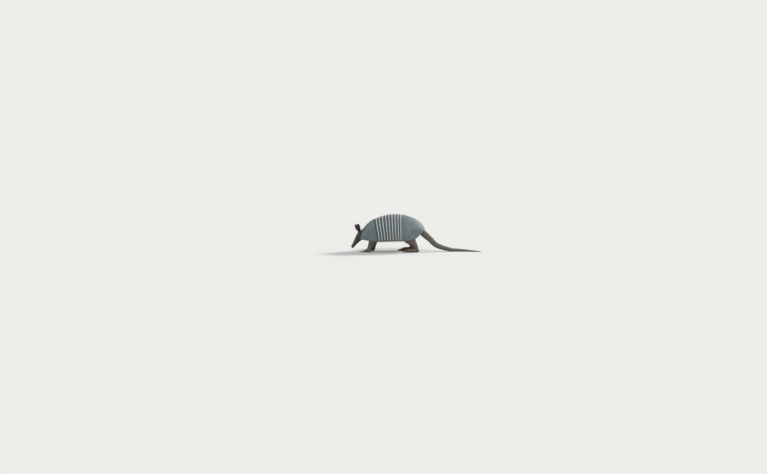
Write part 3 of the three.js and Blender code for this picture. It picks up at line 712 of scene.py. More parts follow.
def placed(matrix, points):
    """Points moved by a matrix."""
    matrix = np.array(matrix)
    return np.asarray(points) @ matrix[:3, :3].T + matrix[:3, 3]


def trunk():
    """The trunk, closed across the belly and rounded off at the neck and the rump."""
    rings = []
    across = np.linspace(-1, 1, TRUNK_SIDES)
    turn = np.linspace(0, math.pi, BELLY_SIDES + 2)[1:-1, None]
    places = [(landmark, 0) for landmark in np.linspace(TRUNK_SIZES[0][0], TAIL_RIM, TRUNK_RINGS)]
    for landmark, shift in places + [(TAIL_RIM, 1.5), (TAIL_RIM, 4)]:
        upper = shell(np.full(TRUNK_SIDES, landmark), across, np.full(TRUNK_SIDES, HIDE))
        lower = upper[-1] + (upper[0] - upper[-1]) * (0.5 - 0.5 * np.cos(turn))
        fullness = math.sin(math.pi * (0.12 + 0.1 * landmark))
        lower[:, 2] -= BELLY_SAG * fullness * np.sin(turn[:, 0]) ** 0.7
        ring = np.vstack([upper, lower])
        size = np.interp(landmark, *TRUNK_SIZES) * (1 - 0.14 * max(shift - 1.5, 0))
        ring = ring.mean(axis=0) + (ring - ring.mean(axis=0)) * size
        rings.append(ring + (shift, 0, -shift * 0.6))
    return rings


def head():
    """The head from behind the ears to the end of the snout."""
    turn = np.linspace(0, 2 * math.pi, HEAD_SIDES, endpoint=False)
    cos, sin = [np.sign(f) * np.abs(f) ** HEAD_POWER for f in (np.cos(turn), np.sin(turn))]
    narrow = 1 - JAW_NARROWING * np.clip(-sin - 0.2, 0, 1)
    rings = []
    for along, top, bottom, half in spline(HEAD, np.linspace(0, len(HEAD) - 1, HEAD_RINGS)):
        middle, deep = (top + bottom) / 2, (top - bottom) / 2
        rings.append(np.stack([np.full(HEAD_SIDES, -along), cos * half * narrow, middle + sin * deep], -1))
    return placed(HEAD_PLACE, rings)


def ear_place(sign):
    """Where an ear's root sits, turned outwards and forwards and leant back."""
    x, y, z = EAR_ROOT
    return (HEAD_PLACE @ Matrix.Translation((x, sign * y, z)) @ Matrix.Rotation(EAR_LEAN[sign], 4, "Y")
            @ Matrix.Rotation(-sign * EAR_TILT, 4, "X") @ Matrix.Rotation(-sign * EAR_TURN, 4, "Z"))


def ear(sign):
    """An ear as a rolled leaf, with its opening forwards."""
    rings = []
    across = np.linspace(-1, 1, EAR_SIDES)
    curl = 1 + 0.1 * np.abs(across) ** 4
    for up, radius, roll in spline(EAR, np.linspace(0, len(EAR) - 1, EAR_RINGS)):
        reach = np.radians(roll) * across
        inner = max(radius - EAR_WALL, 0.8)
        outer_arc = np.stack([radius * np.cos(reach), radius * curl * np.sin(reach)], -1)
        inner_arc = np.stack([inner * np.cos(reach), (inner + 0.3) * curl * np.sin(reach)], -1)[::-1]
        ring = np.vstack([outer_arc, inner_arc]) - (radius * 0.4, 0)
        rings.append(np.column_stack([ring, np.full(len(ring), up)]))
    return placed(ear_place(sign), rings)


def toe_line(foot, sign, stride, toe):
    """Where a toe starts and ends."""
    across, reach, radius, _ = toe
    across *= sign
    start = (foot["toes_from"] + 6 + stride, foot["at"] * sign + across, radius + 2.4)
    end = (foot["toes_from"] - reach + stride, foot["at"] * sign + across * (1 + 2 * TOE_SPLAY), radius + 0.4)
    return np.array(start), np.array(end)


def foot_forms(foot, sign, stride):
    """The pad of a foot and its toes, each with a knuckle in the middle."""
    x, z, length, half, height = foot["palm"]
    turn = np.linspace(0.02, math.pi - 0.02, FOOT_STEPS)
    pad = [(x + stride + length * along, foot["at"] * sign, z, half * wide, height * wide)
           for along, wide in zip(-np.cos(turn), np.sin(turn) ** 0.65)]
    forms = [tube(pad, 32, FOOT_STEPS)]
    for toe in foot["toes"]:
        start, end = toe_line(foot, sign, stride, toe)
        rows = [(*(start + (end - start) * part + (0, 0, rise)), toe[2] * size, toe[2] * size)
                for part, size, rise in KNUCKLES]
        forms.append(tube(rows, TOE_SIDES, FOOT_STEPS))
    return forms


forms = {"trunk": [trunk(), tube(RUMP)], "neck": [tube(NECK)], "head": [head()], "ear": [ear(-1), ear(1)],
         "leg": [], "foot": []}
for (limb, sign), stride in STRIDES.items():
    rows, foot = LIMBS[limb]
    top, sole = rows[0][2], rows[-2][2]
    leg = [(x + stride * min((top - z) / (top - sole), 1), y * sign, z, wide, deep)
           for x, y, z, wide, deep in rows]
    forms["leg"].append(tube(leg))
    forms["foot"] += foot_forms(foot, sign, stride)

PARTS = list(forms)
part_points = []
part_numbers = []
hide = bmesh.new()
mesh = bpy.data.meshes.new("form")
for index, rings_of_part in enumerate(forms.values()):
    for rings in rings_of_part:
        bm = rolled(rings)
        bm.to_mesh(mesh)
        bm.free()
        hide.from_mesh(mesh)
        points = np.reshape(rings, (-1, 3))
        part_points += list(points)
        part_numbers += [index] * len(points)
bpy.data.meshes.remove(mesh)
nearest_form = near_points(part_points)
hide = modified(hide, "REMESH", mode="VOXEL", voxel_size=VOXEL)
smoothed(hide, hide.verts, HIDE_ROUNDS)


def part_at(point):
    """Which part of the body a point belongs to."""
    return PARTS[part_numbers[nearest_form.find(point)[1]]]


# The thin ears are evened out further, and then given back the thickness that this takes.
ear_verts = [vert for vert in hide.verts if part_at(vert.co) == "ear"]
smoothed(hide, ear_verts, EAR_ROUNDS)
hide.normal_update()
for vert in ear_verts:
    vert.co += vert.normal * EAR_GROWTH

# What the carapace hides is thinned out, and the belly a little.
weights = hide.verts.layers.deform.verify()
rim_line = np.transpose(EDGE)
sparse = 0
for vert in hide.verts:
    part = part_at(vert.co)
    inside = vert.co.z - np.interp(vert.co.x, *rim_line)
    if part in ("trunk", "leg") and inside > HIDDEN_ABOVE or part == "neck" and vert.co.x > NECK_HIDDEN:
        vert[weights][0] = 1
    else:
        vert[weights][0] = BELLY_THINNING if part == "trunk" else 0
    sparse += vert[weights][0] > 0
hide = modified(hide, "DECIMATE", ratio=1 - THINNED_SHARE * sparse / len(hide.verts), vertex_group="weights",
                vertex_group_factor=1.0, use_collapse_triangulate=False)

# The eyes are small, and sit low in the sides of the head with thick lids round them.
EYE_RADIUS = 3.8
EYE_AT, EYE_LOOK = (-44, 14.9, 4.6), (-0.3, 0.93, 0.2)
EYE_FINE, EYE_FINER = 10, 7.5  # how near to an eye the hide has smaller faces
EYES = {}
for sign in SIDES:
    outward = HEAD_PLACE.to_3x3() @ (Vector(EYE_LOOK) * Vector((1, sign, 1))).normalized()
    forward = HEAD_PLACE.to_3x3() @ Vector((-1, 0, 0))
    forward = (forward - outward * forward.dot(outward)).normalized()
    middle = HEAD_PLACE @ (Vector(EYE_AT) * Vector((1, sign, 1)))
    EYES[sign] = (middle, outward, forward, outward.cross(forward) * -sign)
MOUTH_FROM, MOUTH_TO = 58, 96
MOUTH_DEPTH, LIP_RISE = 1.5, 0.45


def mouth_level(along):
    """How high the line of the mouth lies in the head."""
    return -5.4 + 0.06 * (along - 90)


def refine(bm, near_eye, by_mouth=False):
    """Halves the faces that lie near an eye, or also those along the line of the mouth."""
    edges = set()
    for face in bm.faces:
        middle = face.calc_center_median()
        x, _, up = TO_HEAD @ middle
        lips = by_mouth and MOUTH_FROM - 3 < -x < MOUTH_TO + 3 and abs(up - mouth_level(-x)) < 2
        if lips or min((middle - eye[0]).length for eye in EYES.values()) < near_eye:
            edges.update(face.edges)
    bmesh.ops.subdivide_edges(bm, edges=list(edges), cuts=1, use_grid_fill=True)


refine(hide, EYE_FINE, by_mouth=True)
refine(hide, EYE_FINER)


class Hide:
    """The hide's vertices as rows of numbers, with what is needed to spread a value over neighbours."""

    def __init__(self, bm):
        bm.normal_update()
        self.co = np.array([vert.co for vert in bm.verts])
        self.normal = np.array([vert.normal for vert in bm.verts])
        bm.verts.index_update()
        self.edges = np.array([[vert.index for vert in edge.verts] for edge in bm.edges])
        self.count = np.bincount(self.edges.ravel(), minlength=len(self.co))
        self.part = np.array([part_at(vert.co) for vert in bm.verts])

    def spread(self, values, rounds):
        """Evens values out over neighbouring vertices."""
        a, b = self.edges.T
        for _ in range(rounds):
            total = np.bincount(a, values[b], len(values)) + np.bincount(b, values[a], len(values))
            values = 0.5 * values + 0.5 * total / self.count
        return values

    def mask(self, name):
        """1 on a part and 0 elsewhere, with soft borders."""
        return self.spread((self.part == name).astype(float), 5)


def ramp(values, low, high):
    """A smooth step from 0 at one value to 1 at the other."""
    t = np.clip((values - low) / (high - low), 0, 1)
    return t * t * (3 - 2 * t)


def bell(values, middle, width):
    """A smooth hump round a value."""
    return np.exp(-((values - middle) / width) ** 2)


def noise_at(points, size):
    """Smooth noise from -1 to 1 with blobs of a size, at each point."""
    return np.array([noise.noise(Vector(point) / size) for point in points])


LUMPS, RIPPLES = 14, 5  # how large the lumps and the ripples of the hide are
NECK_FOLDS, LEG_FOLDS = (7.2, 1.3), (4.6, 0.55)  # from fold to fold, and how deep
CANAL, CANAL_DEPTH, CANAL_WIDTH = Vector((-1.5, 0, 1)), 3, 4.5  # where an ear opens
flesh = Hide(hide)
lumps, ripples = noise_at(flesh.co, LUMPS), noise_at(flesh.co, RIPPLES)
along, side, up = (placed(TO_HEAD, flesh.co) * (-1, 1, 1)).T
side = np.abs(side)
on_trunk, on_neck, on_head, on_ear, on_leg, on_foot = [flesh.mask(name) for name in PARTS]

# Swellings and hollows on both sides of the head: along, sideways, up, width and height.
SWELLINGS = ((24, 20, -9, 11, 1.5), (41, 16, 10, 5, 0.8), (35, 19, 4, 6, -0.9), (84, 8, -3, 7, 0.5),
             (56, 11, 6, 8, -0.7), (50, 0, -17, 10, -1.2))
lift = 0.35 * lumps * (1 - on_ear) + 0.12 * ripples
for *at, width, height in SWELLINGS:
    far = (along - at[0]) ** 2 + (side - at[1]) ** 2 + (up - at[2]) ** 2
    lift += height * np.exp(-far / width**2) * np.minimum(on_head * 2, 1)
groove = ramp(along, MOUTH_FROM, MOUTH_FROM + 4) * (1 - ramp(along, MOUTH_TO - 2, MOUTH_TO + 1))
lift -= MOUTH_DEPTH * bell(up, mouth_level(along), 0.5) * groove * on_head
lip = bell(up, mouth_level(along) - 1.5, 0.8) * ramp(along, MOUTH_FROM + 2, MOUTH_FROM + 8)
lift += LIP_RISE * lip * on_head
neck_lie = flesh.co[:, 0] * 0.95 + flesh.co[:, 2] * 0.3 + 3.4 * lumps
neck_fold = np.abs(np.sin(math.pi * neck_lie / NECK_FOLDS[0])) ** 0.7
lift += NECK_FOLDS[1] * (neck_fold - 0.75) * on_neck
leg_fold = np.abs(np.sin(math.pi * (flesh.co[:, 2] + 1.6 * lumps) / LEG_FOLDS[0])) ** 0.6
lift += LEG_FOLDS[1] * (leg_fold - 0.7) * np.maximum(on_leg, on_foot) * bell(flesh.co[:, 2], 27, 9)
for sign in SIDES:
    canal = np.linalg.norm(flesh.co - np.array(ear_place(sign) @ CANAL), axis=1)
    lift -= CANAL_DEPTH * bell(canal, 0, CANAL_WIDTH)
flesh.co += flesh.normal * lift[:, None]

# Round each eye the hide stands over the eyeball as two lids, with folds that follow their rims.
LID = EYE_RADIUS + 0.35
LID_FULL, LID_REACH = 8, 11  # how far from an eye's middle the lids' shape is full, and ends
LID_FOLDS = ((1.45, 0.45), (1.95, 0.4), (2.5, 0.3))  # how far out, and how deep
for eye, outward, forward, upward in EYES.values():
    ray = flesh.co - eye
    far = np.linalg.norm(ray, axis=1)
    close = far < LID_REACH
    ray, far = ray[close] / far[close, None], far[close]
    angle = np.arccos(np.clip(ray @ outward, -1, 1))
    flat = np.stack([ray @ forward, ray @ upward], -1)
    flat /= np.maximum(np.linalg.norm(flat, axis=1), 1e-6)[:, None]
    upper = ramp(flat[:, 1], -0.3, 0.3)
    opening = angle * np.hypot(flat[:, 0] / 0.95, flat[:, 1] / (0.62 - 0.07 * upper))
    over = LID + 0.5 * np.log1p(np.exp(np.clip((far - LID) / 0.5, -30, 30)))
    turn = np.arctan2(flat[:, 1], flat[:, 0])
    folds = (0.25 + 0.2 * upper) * bell(opening, 1.15, 0.14)
    for at, depth in LID_FOLDS:
        at = at + 0.08 * np.sin(3 * turn + at)
        fold = bell(opening, at + 0.24, 0.14) * 0.7 - bell(opening, at, 0.1)
        folds += depth * (0.45 + 0.55 * upper) * fold
    creased = ramp(opening, 1.4, 2) * (1 - ramp(opening, 2.6, 3.4))
    folds += 0.1 * np.sin(turn * 17 + 2 * np.sin(turn * 5)) * creased
    inside = 1 - ramp(opening, 0.96, 1.03)
    blended = (over + folds) * (1 - inside) + (EYE_RADIUS - 1.1) * inside
    keep = ramp(far, LID_FULL, LID_REACH)
    # The lift has already been put on the hide, so this only deepens the painted shade in the lids' folds.
    lift[close] += folds * (1 - keep) * 1.5
    flesh.co[close] = np.array(eye) + ray * (blended * (1 - keep) + far * keep)[:, None]

flesh.co[:, 2] = np.where(on_foot > 0.3, np.maximum(flesh.co[:, 2], 0.05), flesh.co[:, 2])
layer = marked(hide)
darkness = np.clip(on_head * 0.75 + on_ear + on_foot * 0.35 + on_leg * 0.15, 0, 1)
pinkness = np.clip(on_trunk * ramp(-flesh.normal[:, 2], 0, 0.7), 0, 1)
# Painted shade: where the hide was pushed in, in folds, along the mouth and in the ears' openings, it is
# painted darker.
hollows = np.clip(-flesh.spread(lift, 1) * 1.2, 0, 1)
for vert, co, *values in zip(hide.verts, flesh.co, darkness, pinkness, hollows):
    vert.co = co
    vert[layer] = (*values, 1)

# The marks on the hide say how dark and how pink it is, and how deep in a fold, which is painted as shade.
look, (light, deep, rosy), made = look_group("leathery hide", ("Light", "Dark", "Pink"))
dark, pink, fold_shade = look.marks()
fine = look.noise(1400, 4, 0.6)
bent = look.mix(0.0008, look.place(), look.noise(500, out="Color"))
pebbles = look.spread(look.cells(760, "DISTANCE_TO_EDGE", bent), 0, 0.22)
pebbles = look.math("MULTIPLY", pebbles, look.spread(look.cells(760, place=bent), 0, 0.75, 1, 0.5))
colour = look.mix(pink, look.mix(dark, light, deep), rosy)
colour = look.mix(look.spread(look.noise(60, 5, 0.6), 0.4, 0.75, 0, 0.45), colour, deep)
colour = look.mix(look.spread(pebbles, 0, 0.7, 0.4, 0), colour, deep)
# Painted shade: the deeper in a fold, the nearer the hide comes to its dark colour.
look.put(look.mix(look.math("MULTIPLY", fold_shade, 0.7), colour, deep), made["Color"])
look.put(look.spread(fine, 0.3, 0.7, 0.5, 0.75), made["Roughness"])
look.put(look.math("ADD", pebbles, look.math("MULTIPLY", fine, 0.6)), made["Height"])

hide_leather = from_group("hide", look, 0.5, Light=paint(0x75675B), Dark=paint(0x2A2624),
                          Pink=paint(0xA08A7A))
hide_copy = hide.copy()
limb_nodes = [f"{limb}_{part}_{side_name}" for limb in LIMBS for part in ("leg", "foot")
              for side_name in SIDES.values()]
piece("skin", hide, hide_leather, "skin", "trunk", "neck", "head", "ear_left", "ear_right", *limb_nodes)

# ---- eyes -----------------------------------------------------------------------------------------
# The eyes are small, round and almost black, wet and clear in front, and look out to the sides.
eye_black, look = material("eye")
look.shade(Base_Color=look.mix(look.spread(look.noise(900, 3), 0.4, 0.7), paint(0x0A0706), paint(0x1E120B)),
           Roughness=0.12, Specular_IOR_Level=0.15, Coat_Weight=0.6, Coat_Roughness=0.02)
for sign, side_name in SIDES.items():
    eye, outward, _, _ = EYES[sign]
    bm = bmesh.new()
    bmesh.ops.create_uvsphere(bm, u_segments=32, v_segments=24, radius=EYE_RADIUS)
    for vert in bm.verts:
        vert.co.z += 0.35 * max(vert.co.z / EYE_RADIUS - 0.72, 0) / 0.28
    turned = Matrix.Translation(eye) @ outward.to_track_quat("Z", "Y").to_matrix().to_4x4()
    bmesh.ops.transform(bm, matrix=turned, verts=bm.verts)
    piece(f"eyeball_{side_name}", bm, eye_black, "eye", f"eye_{side_name}")

# ---- head shield ----------------------------------------------------------------------------------
# A shield of horn over bone covers the head from the snout to between the ears. Its scutes are plain
# polygons with no granules round them, largest on the crown, and alike on both sides.
SHIELD_OUTLINE = ((1, 12, 24, 38, 52, 70, 90), (5, 8.5, 15, 17.6, 12.5, 8, 5.5))  # along, half-width
SHIELD_FROM, SHIELD_TO = SHIELD_OUTLINE[0][0], SHIELD_OUTLINE[0][-1]
SHIELD_LIFT = ((0, 72, 90), (0.7, 0.6, 0.15))  # along, and how far off the head
SHIELD_STEPS = 50, 24
PLATE_THICKNESS = 1.6
HEAD_SCUTES = ((0, 30, 60, 92), (5.6, 7.2, 5.4, 3.6))  # along, pitch
HEAD_SCUTE_STEPS = ((0.08, 0.34), (0.14, 0.18), (0.3, 0.08))
HEAD_SCUTE_STRAY = 0.13
MOST_SWELL = 0.8  # how much of a swell under a scute its crown is lifted over


def shield_lift(along):
    """How far the shield stands off the head. It thins out towards the nose."""
    return np.interp(along, *SHIELD_LIFT)


def on_crown(along, y, lift):
    """A point that stands off the top of the head, in the head's own frame."""
    top, bottom, half = spline(HEAD, np.interp([along], [row[0] for row in HEAD], range(len(HEAD))))[0, 1:]
    sine = math.sqrt(1 - min(abs(y) / (half + lift), 1) ** (2 / HEAD_POWER))
    return Vector((-along, y, (top + bottom) / 2 + ((top - bottom) / 2 + lift) * sine**HEAD_POWER))


def scute(seed, out, others, reach, gap):
    """The corners of a scute round its seed, halfway to the others, on the plane square to a direction."""
    bm = bmesh.new()
    turned = Matrix.Translation(seed) @ out.to_track_quat("Z", "Y").to_matrix().to_4x4()
    bmesh.ops.create_circle(bm, segments=10, radius=reach, cap_ends=True, matrix=turned)
    for other in others:
        way = other - seed
        if 0.2 * reach < way.length < 2 * reach:
            place = seed + way * (0.5 - 0.5 * gap / way.length)
            bmesh.ops.bisect_plane(bm, geom=bm.verts[:] + bm.edges[:] + bm.faces[:], dist=0.01,
                                   plane_co=place, plane_no=way, clear_outer=True)
    whole = max(bm.faces, key=lambda face: face.calc_area(), default=None)
    corners = [vert.co.copy() for vert in whole.verts] if whole else []
    bm.free()
    return [a for a, b in zip(corners, corners[-1:] + corners) if (a - b).length > 0.16 * reach]


def add_scutes(bm, tree, seeds, reaches, gap, thickness, steps, settle=None, outs=None, guides=()):
    """Adds a coat of scutes over a surface, each a closed plate of its own with a crown that clears
    whatever swells under it. The guides have no scutes, but shape those next to them."""
    near = near_points([*seeds, *guides])
    settle = settle or (lambda corner: tree.find_nearest(corner)[0])
    layer = bm.verts.layers.float_color.get("marks") or bm.verts.layers.float_color.new("marks")
    faces = []
    for seed, reach, out in zip(seeds, reaches, outs or [None] * len(seeds)):
        place, normal, _, _ = tree.find_nearest(seed)
        others = [co for co, _, _ in near.find_n(seed, 10)]
        corners = [settle(corner) for corner in scute(place, out or normal, others, reach, gap)]
        if len(corners) > 2:
            faces.append(bm.faces.new([bm.verts.new(corner) for corner in corners]))
    swells = []
    for face in faces:
        face.normal_update()
        centre = face.calc_center_median()
        if face.normal.dot(tree.find_nearest(centre)[1]) < 0:
            face.normal_flip()
        for vert in face.verts:
            vert[layer] = (0.1, 0.5, 0, 1)
        points = [centre] + [(centre + vert.co) / 2 for vert in face.verts]
        swells.append(max((tree.find_nearest(point)[0] - point).dot(face.normal) for point in points))
    bmesh.ops.solidify(bm, geom=faces, thickness=thickness)
    bm.normal_update()
    raise_cells(bm, faces, steps)
    for face, swell in zip(faces, swells):
        up = face.normal * min(max(swell, 0), MOST_SWELL)
        for vert in face.verts:
            vert.co += up
    return faces


head_plate = bmesh.new()
rows, columns = SHIELD_STEPS
bmesh.ops.create_grid(head_plate, x_segments=columns, y_segments=rows, size=1)
for index, vert in enumerate(head_plate.verts):
    row, column = divmod(index, columns + 1)
    run = SHIELD_FROM + (SHIELD_TO - SHIELD_FROM) * row / rows
    vert.co = on_crown(run, (2 * column / columns - 1) * np.interp(run, *SHIELD_OUTLINE), shield_lift(run))
bmesh.ops.recalc_face_normals(head_plate, faces=head_plate.faces)
if sum(face.normal.z for face in head_plate.faces) < 0:
    bmesh.ops.reverse_faces(head_plate, faces=head_plate.faces)
head_tree = BVHTree.FromBMesh(head_plate)
bmesh.ops.solidify(head_plate, geom=head_plate.faces[:], thickness=PLATE_THICKNESS)
marked(head_plate)

seeds, reaches = [], []
run = 3.5
while run < SHIELD_TO:
    pitch, half = np.interp(run, *HEAD_SCUTES), np.interp(run, *SHIELD_OUTLINE)
    steps = max(1, round(2 * half / pitch))
    offsets = (np.arange(steps) - (steps - 1) / 2) * 2 * half / steps
    shifts = chance.uniform(-HEAD_SCUTE_STRAY, HEAD_SCUTE_STRAY, (steps, 2)) * pitch
    for place, shift, mirrored in zip(offsets, shifts, shifts[::-1]):
        ahead, aside = shift if place < 0 else mirrored * (1, -1)
        seeds.append(on_crown(run + ahead, 0 if abs(place) < 0.1 else place + aside, shield_lift(run)))
        reaches.append(pitch * 0.72)
    run += pitch * 0.86


def inside_outline(corner):
    """A corner of a scute held inside the outline of the head shield."""
    half = np.interp(-corner.x, *SHIELD_OUTLINE) - 0.25
    held = Vector((np.clip(corner.x, -SHIELD_TO, -SHIELD_FROM), np.clip(corner.y, -half, half), corner.z))
    return head_tree.find_nearest(held)[0]


add_scutes(head_plate, head_tree, seeds, reaches, 0.3, 0.5, HEAD_SCUTE_STEPS, inside_outline)
bmesh.ops.transform(head_plate, matrix=HEAD_PLACE, verts=head_plate.verts)
head_horn = horn("head horn", 0x4B4540, 0x221F1D, 0x7E766D, variety=0.35)
piece("head_shield_scutes", head_plate, head_horn, "head_shield", "head_shield")

# ---- nose -----------------------------------------------------------------------------------------
# The snout ends in a bare, moist pad with two round nostrils, a little wider than the snout.
NOSE_FROM, NOSE_THICK, NOSE_LEVEL = -98.6, 2.7, 0.5
NOSE_HALF, NOSE_HIGH = 6.9, 6.75
NOSTRILS_APART, NOSTRIL_RISE, NOSTRIL_DEPTH, NOSTRIL_RIM = 3.3, 0.9, 2.6, 0.3
NOSTRIL_HALF, NOSTRIL_HIGH = 1.55, 1.8
CLEFT_DEPTH, CLEFT_WIDTH, CLEFT_TOP = 0.35, 0.6, 3
nose = bmesh.new()
bmesh.ops.create_uvsphere(nose, u_segments=72, v_segments=56, radius=1)
layer = marked(nose)
for vert in nose.verts:
    z, y, x = vert.co
    flat = math.hypot(y, z)
    grow = min(flat**-0.35, 1.4) if flat > 0.05 else 1
    at = Vector((NOSE_FROM - NOSE_THICK * x, y * grow * NOSE_HALF, NOSE_LEVEL + z * grow * NOSE_HIGH))
    inside = 0
    if x > 0:
        for sign in SIDES:
            off = math.hypot((at.y - sign * NOSTRILS_APART) / NOSTRIL_HALF,
                             (at.z - NOSE_LEVEL - NOSTRIL_RISE) / NOSTRIL_HIGH)
            hole = math.exp(-off**4)
            at.x += NOSTRIL_DEPTH * hole - NOSTRIL_RIM * math.exp(-((off - 1.35) / 0.35) ** 2)
            inside = max(inside, hole)
        at.x += CLEFT_DEPTH * math.exp(-(at.y / CLEFT_WIDTH) ** 2) * (at.z < NOSE_LEVEL + CLEFT_TOP)
    vert.co = at
    # The first mark says how far inside a nostril a point lies, which is painted nearly black as shade.
    vert[layer] = (inside, 0, 0, 1)
bmesh.ops.transform(nose, matrix=HEAD_PLACE, verts=nose.verts)
bmesh.ops.recalc_face_normals(nose, faces=nose.faces)

nose_leather, look = material("nose leather")
inside, _, _ = look.marks()
pebbles = look.cells(1500, "SMOOTH_F1")
brown, dark, black = paint(0x6E544C), paint(0x3E2F2A), paint(0x0E0A09)
colour = look.mix(look.spread(look.noise(260, 4), 0.35, 0.7), brown, dark)
colour = look.mix(look.spread(pebbles, 0.3, 0.75, 0, 0.5), colour, dark)
swell = look.math("MULTIPLY", look.spread(pebbles, 0.1, 0.8, 1, 0), look.spread(inside, 0.05, 0.3, 1, 0))
# Painted shade: inside the nostrils the pad is painted nearly black.
look.shade(bump=(swell, 0.5, 0.0003), Base_Color=look.mix(look.spread(inside, 0.15, 0.75), colour, black),
           Roughness=look.spread(inside, 0.1, 0.7, 0.38, 0.7))
piece("nose_pad", nose, nose_leather, "nose", "nose")

# ---- claws ----------------------------------------------------------------------------------------
# Four claws on each fore foot and five on each hind foot. They are long, a little curved and narrow,
# ringed with growth lines, brown at the root and worn pale at the tip.
CLAW_SHAPE = ((-0.16, 1, 1.02, 0.95), (0.1, 1.02, 1, 1), (0.35, 0.96, 0.82, 0.86), (0.6, 0.76, 0.62, 0.66),
              (0.82, 0.46, 0.4, 0.42), (0.96, 0.2, 0.2, 0.2),
              (1, 0.13, 0.09, 0.1))  # shares of its reach, height, width and depth
CLAW_STEPS, CLAW_SIDES = 48, 20
CLAW_THICKNESS, CLAW_EXTRA = 0.74, 0.8  # thickness as a share of the toe's, and added length
GROWTH_LINES = 0.022 * np.sin(np.arange(CLAW_STEPS) * 1.9)
claw_horn, look = material("claw horn")
share, _, _ = look.marks()
streaks = look.noise(420, 6, 0.7)
colour = look.mix(look.spread(share, 0.15, 0.9), paint(0x6F5D45), paint(0xC7B893))
look.shade(bump=(streaks, 0.25, 0.0002), Roughness=look.spread(streaks, 0.3, 0.7, 0.32, 0.5),
           Base_Color=look.mix(look.spread(streaks, 0.42, 0.7, 0, 0.6), colour, paint(0x5A4934)))
for (limb, sign), stride in STRIDES.items():
    foot = LIMBS[limb][1]
    for number, toe in enumerate(foot["toes"], 1):
        start, end = toe_line(foot, sign, stride, toe)
        way = (end - start) * (1, 1, 0)
        way /= np.linalg.norm(way)
        size, reach = toe[2] * CLAW_THICKNESS, toe[3] + CLAW_EXTRA
        rows = [(*(end + way * (reach * part + 0.6))[:2], max(end[2] * height, 0.5), size * wide, size * deep)
                for part, height, wide, deep in CLAW_SHAPE]
        rings = tube(rows, CLAW_SIDES, CLAW_STEPS)
        rings += (rings - rings.mean(axis=1)[:, None]) * GROWTH_LINES[:, None, None]
        rings[..., 2] = np.maximum(rings[..., 2], 0.05)
        claw = rolled(rings)
        layer = marked(claw)
        for vert in claw.verts:
            vert[layer] = (np.clip((np.array(vert.co) - end) @ way / reach, 0, 1), 0, 0, 1)
        name = f"{SIDES[sign]}_{number}"
        piece(f"{limb}_nail_{name}", claw, claw_horn, "claw", f"{limb}_claw_{name}")

# ---- tail -----------------------------------------------------------------------------------------
# The tail is armoured all round: twelve rings of bone, each under two rows of scutes with pointed rear
# ends that stand over the next ring, and then a long tapered end under scutes set like shingles. The
# first ring is longer, and comes out from under the hip shield.
TAIL_FROM = 149, 0, 97.8
TAIL_LENGTH, TAIL_RADIUS, TAIL_TIP_RADIUS = 335, 17.6, 1.6
TAIL_SLOPE = math.radians(42)
TAIL_OFF_FLOOR, TAIL_ON_FLOOR = 0.3, 0.53  # the shares of its length where its slope ends and where it lies
TAIL_BEND, TAIL_SINK = 26, 0.4
RING_COUNT, RINGED_SHARE = 12, 0.6
ROOT_SHARE = 0.05  # how far the tail's root goes on under the rim of the hip shield
TAIL_SCUTE, END_SCUTE = 5.0, 4.6
TAIL_TAPER = 0.92  # 1 would be even
TAIL_SCUTE_STEPS = ((0.1, 0.3), (0.16, 0.2), (0.36, 0.12))
tail_horn = horn("tail horn", 0x6B645C, 0x2B2724, 0xA69D90, variety=0.3)


def tail_radius(share):
    """How thick the tail is at a share of its length."""
    return TAIL_TIP_RADIUS + (TAIL_RADIUS - TAIL_TIP_RADIUS) * (1 - share) ** TAIL_TAPER


ahead, drop = TAIL_LENGTH * math.cos(TAIL_SLOPE), TAIL_LENGTH * math.sin(TAIL_SLOPE)
points = [(TAIL_FROM[0] + share * ahead, TAIL_FROM[1], TAIL_FROM[2] - share * drop)
          for share in (-ROOT_SHARE, 0, 0.15, TAIL_OFF_FLOOR)]
floor_from = points[-1][0] + (TAIL_ON_FLOOR - TAIL_OFF_FLOOR) * TAIL_LENGTH * 0.9
for share in np.linspace(0, 1, 6):
    lying = share * (1 - TAIL_ON_FLOOR)
    points.append((floor_from + lying * TAIL_LENGTH, -TAIL_BEND * share**2,
                   tail_radius(TAIL_ON_FLOOR + lying) - TAIL_SINK))
tail_line = spline(points, np.linspace(0, len(points) - 1, 400))
tail_far = lengths(tail_line) - ROOT_SHARE * TAIL_LENGTH


def on_tail(shares, further=0):
    """Points on the tail's line at shares of its length, and some way further on."""
    far = np.array(shares) * tail_far[-1] + further
    return np.stack([np.interp(far, tail_far, axis) for axis in tail_line.T], -1)


def tail_rings(shares, radii, sides=48):
    """Rings round the tail's line at shares of its length."""
    return rings_round(on_tail(shares), on_tail(shares, 1) - on_tail(shares, -1), radii, radii, sides)


def around(share, number, turned, lift=0.0):
    """Points evenly round the tail at a share of its length, and the ways out from its line."""
    ring = tail_rings([share], [tail_radius(min(share, 1)) + lift], number * 2)[0]
    points = [Vector(point) for point in ring[turned::2]]
    middle = Vector(ring.mean(axis=0))
    return points, [(point - middle).normalized() for point in points]


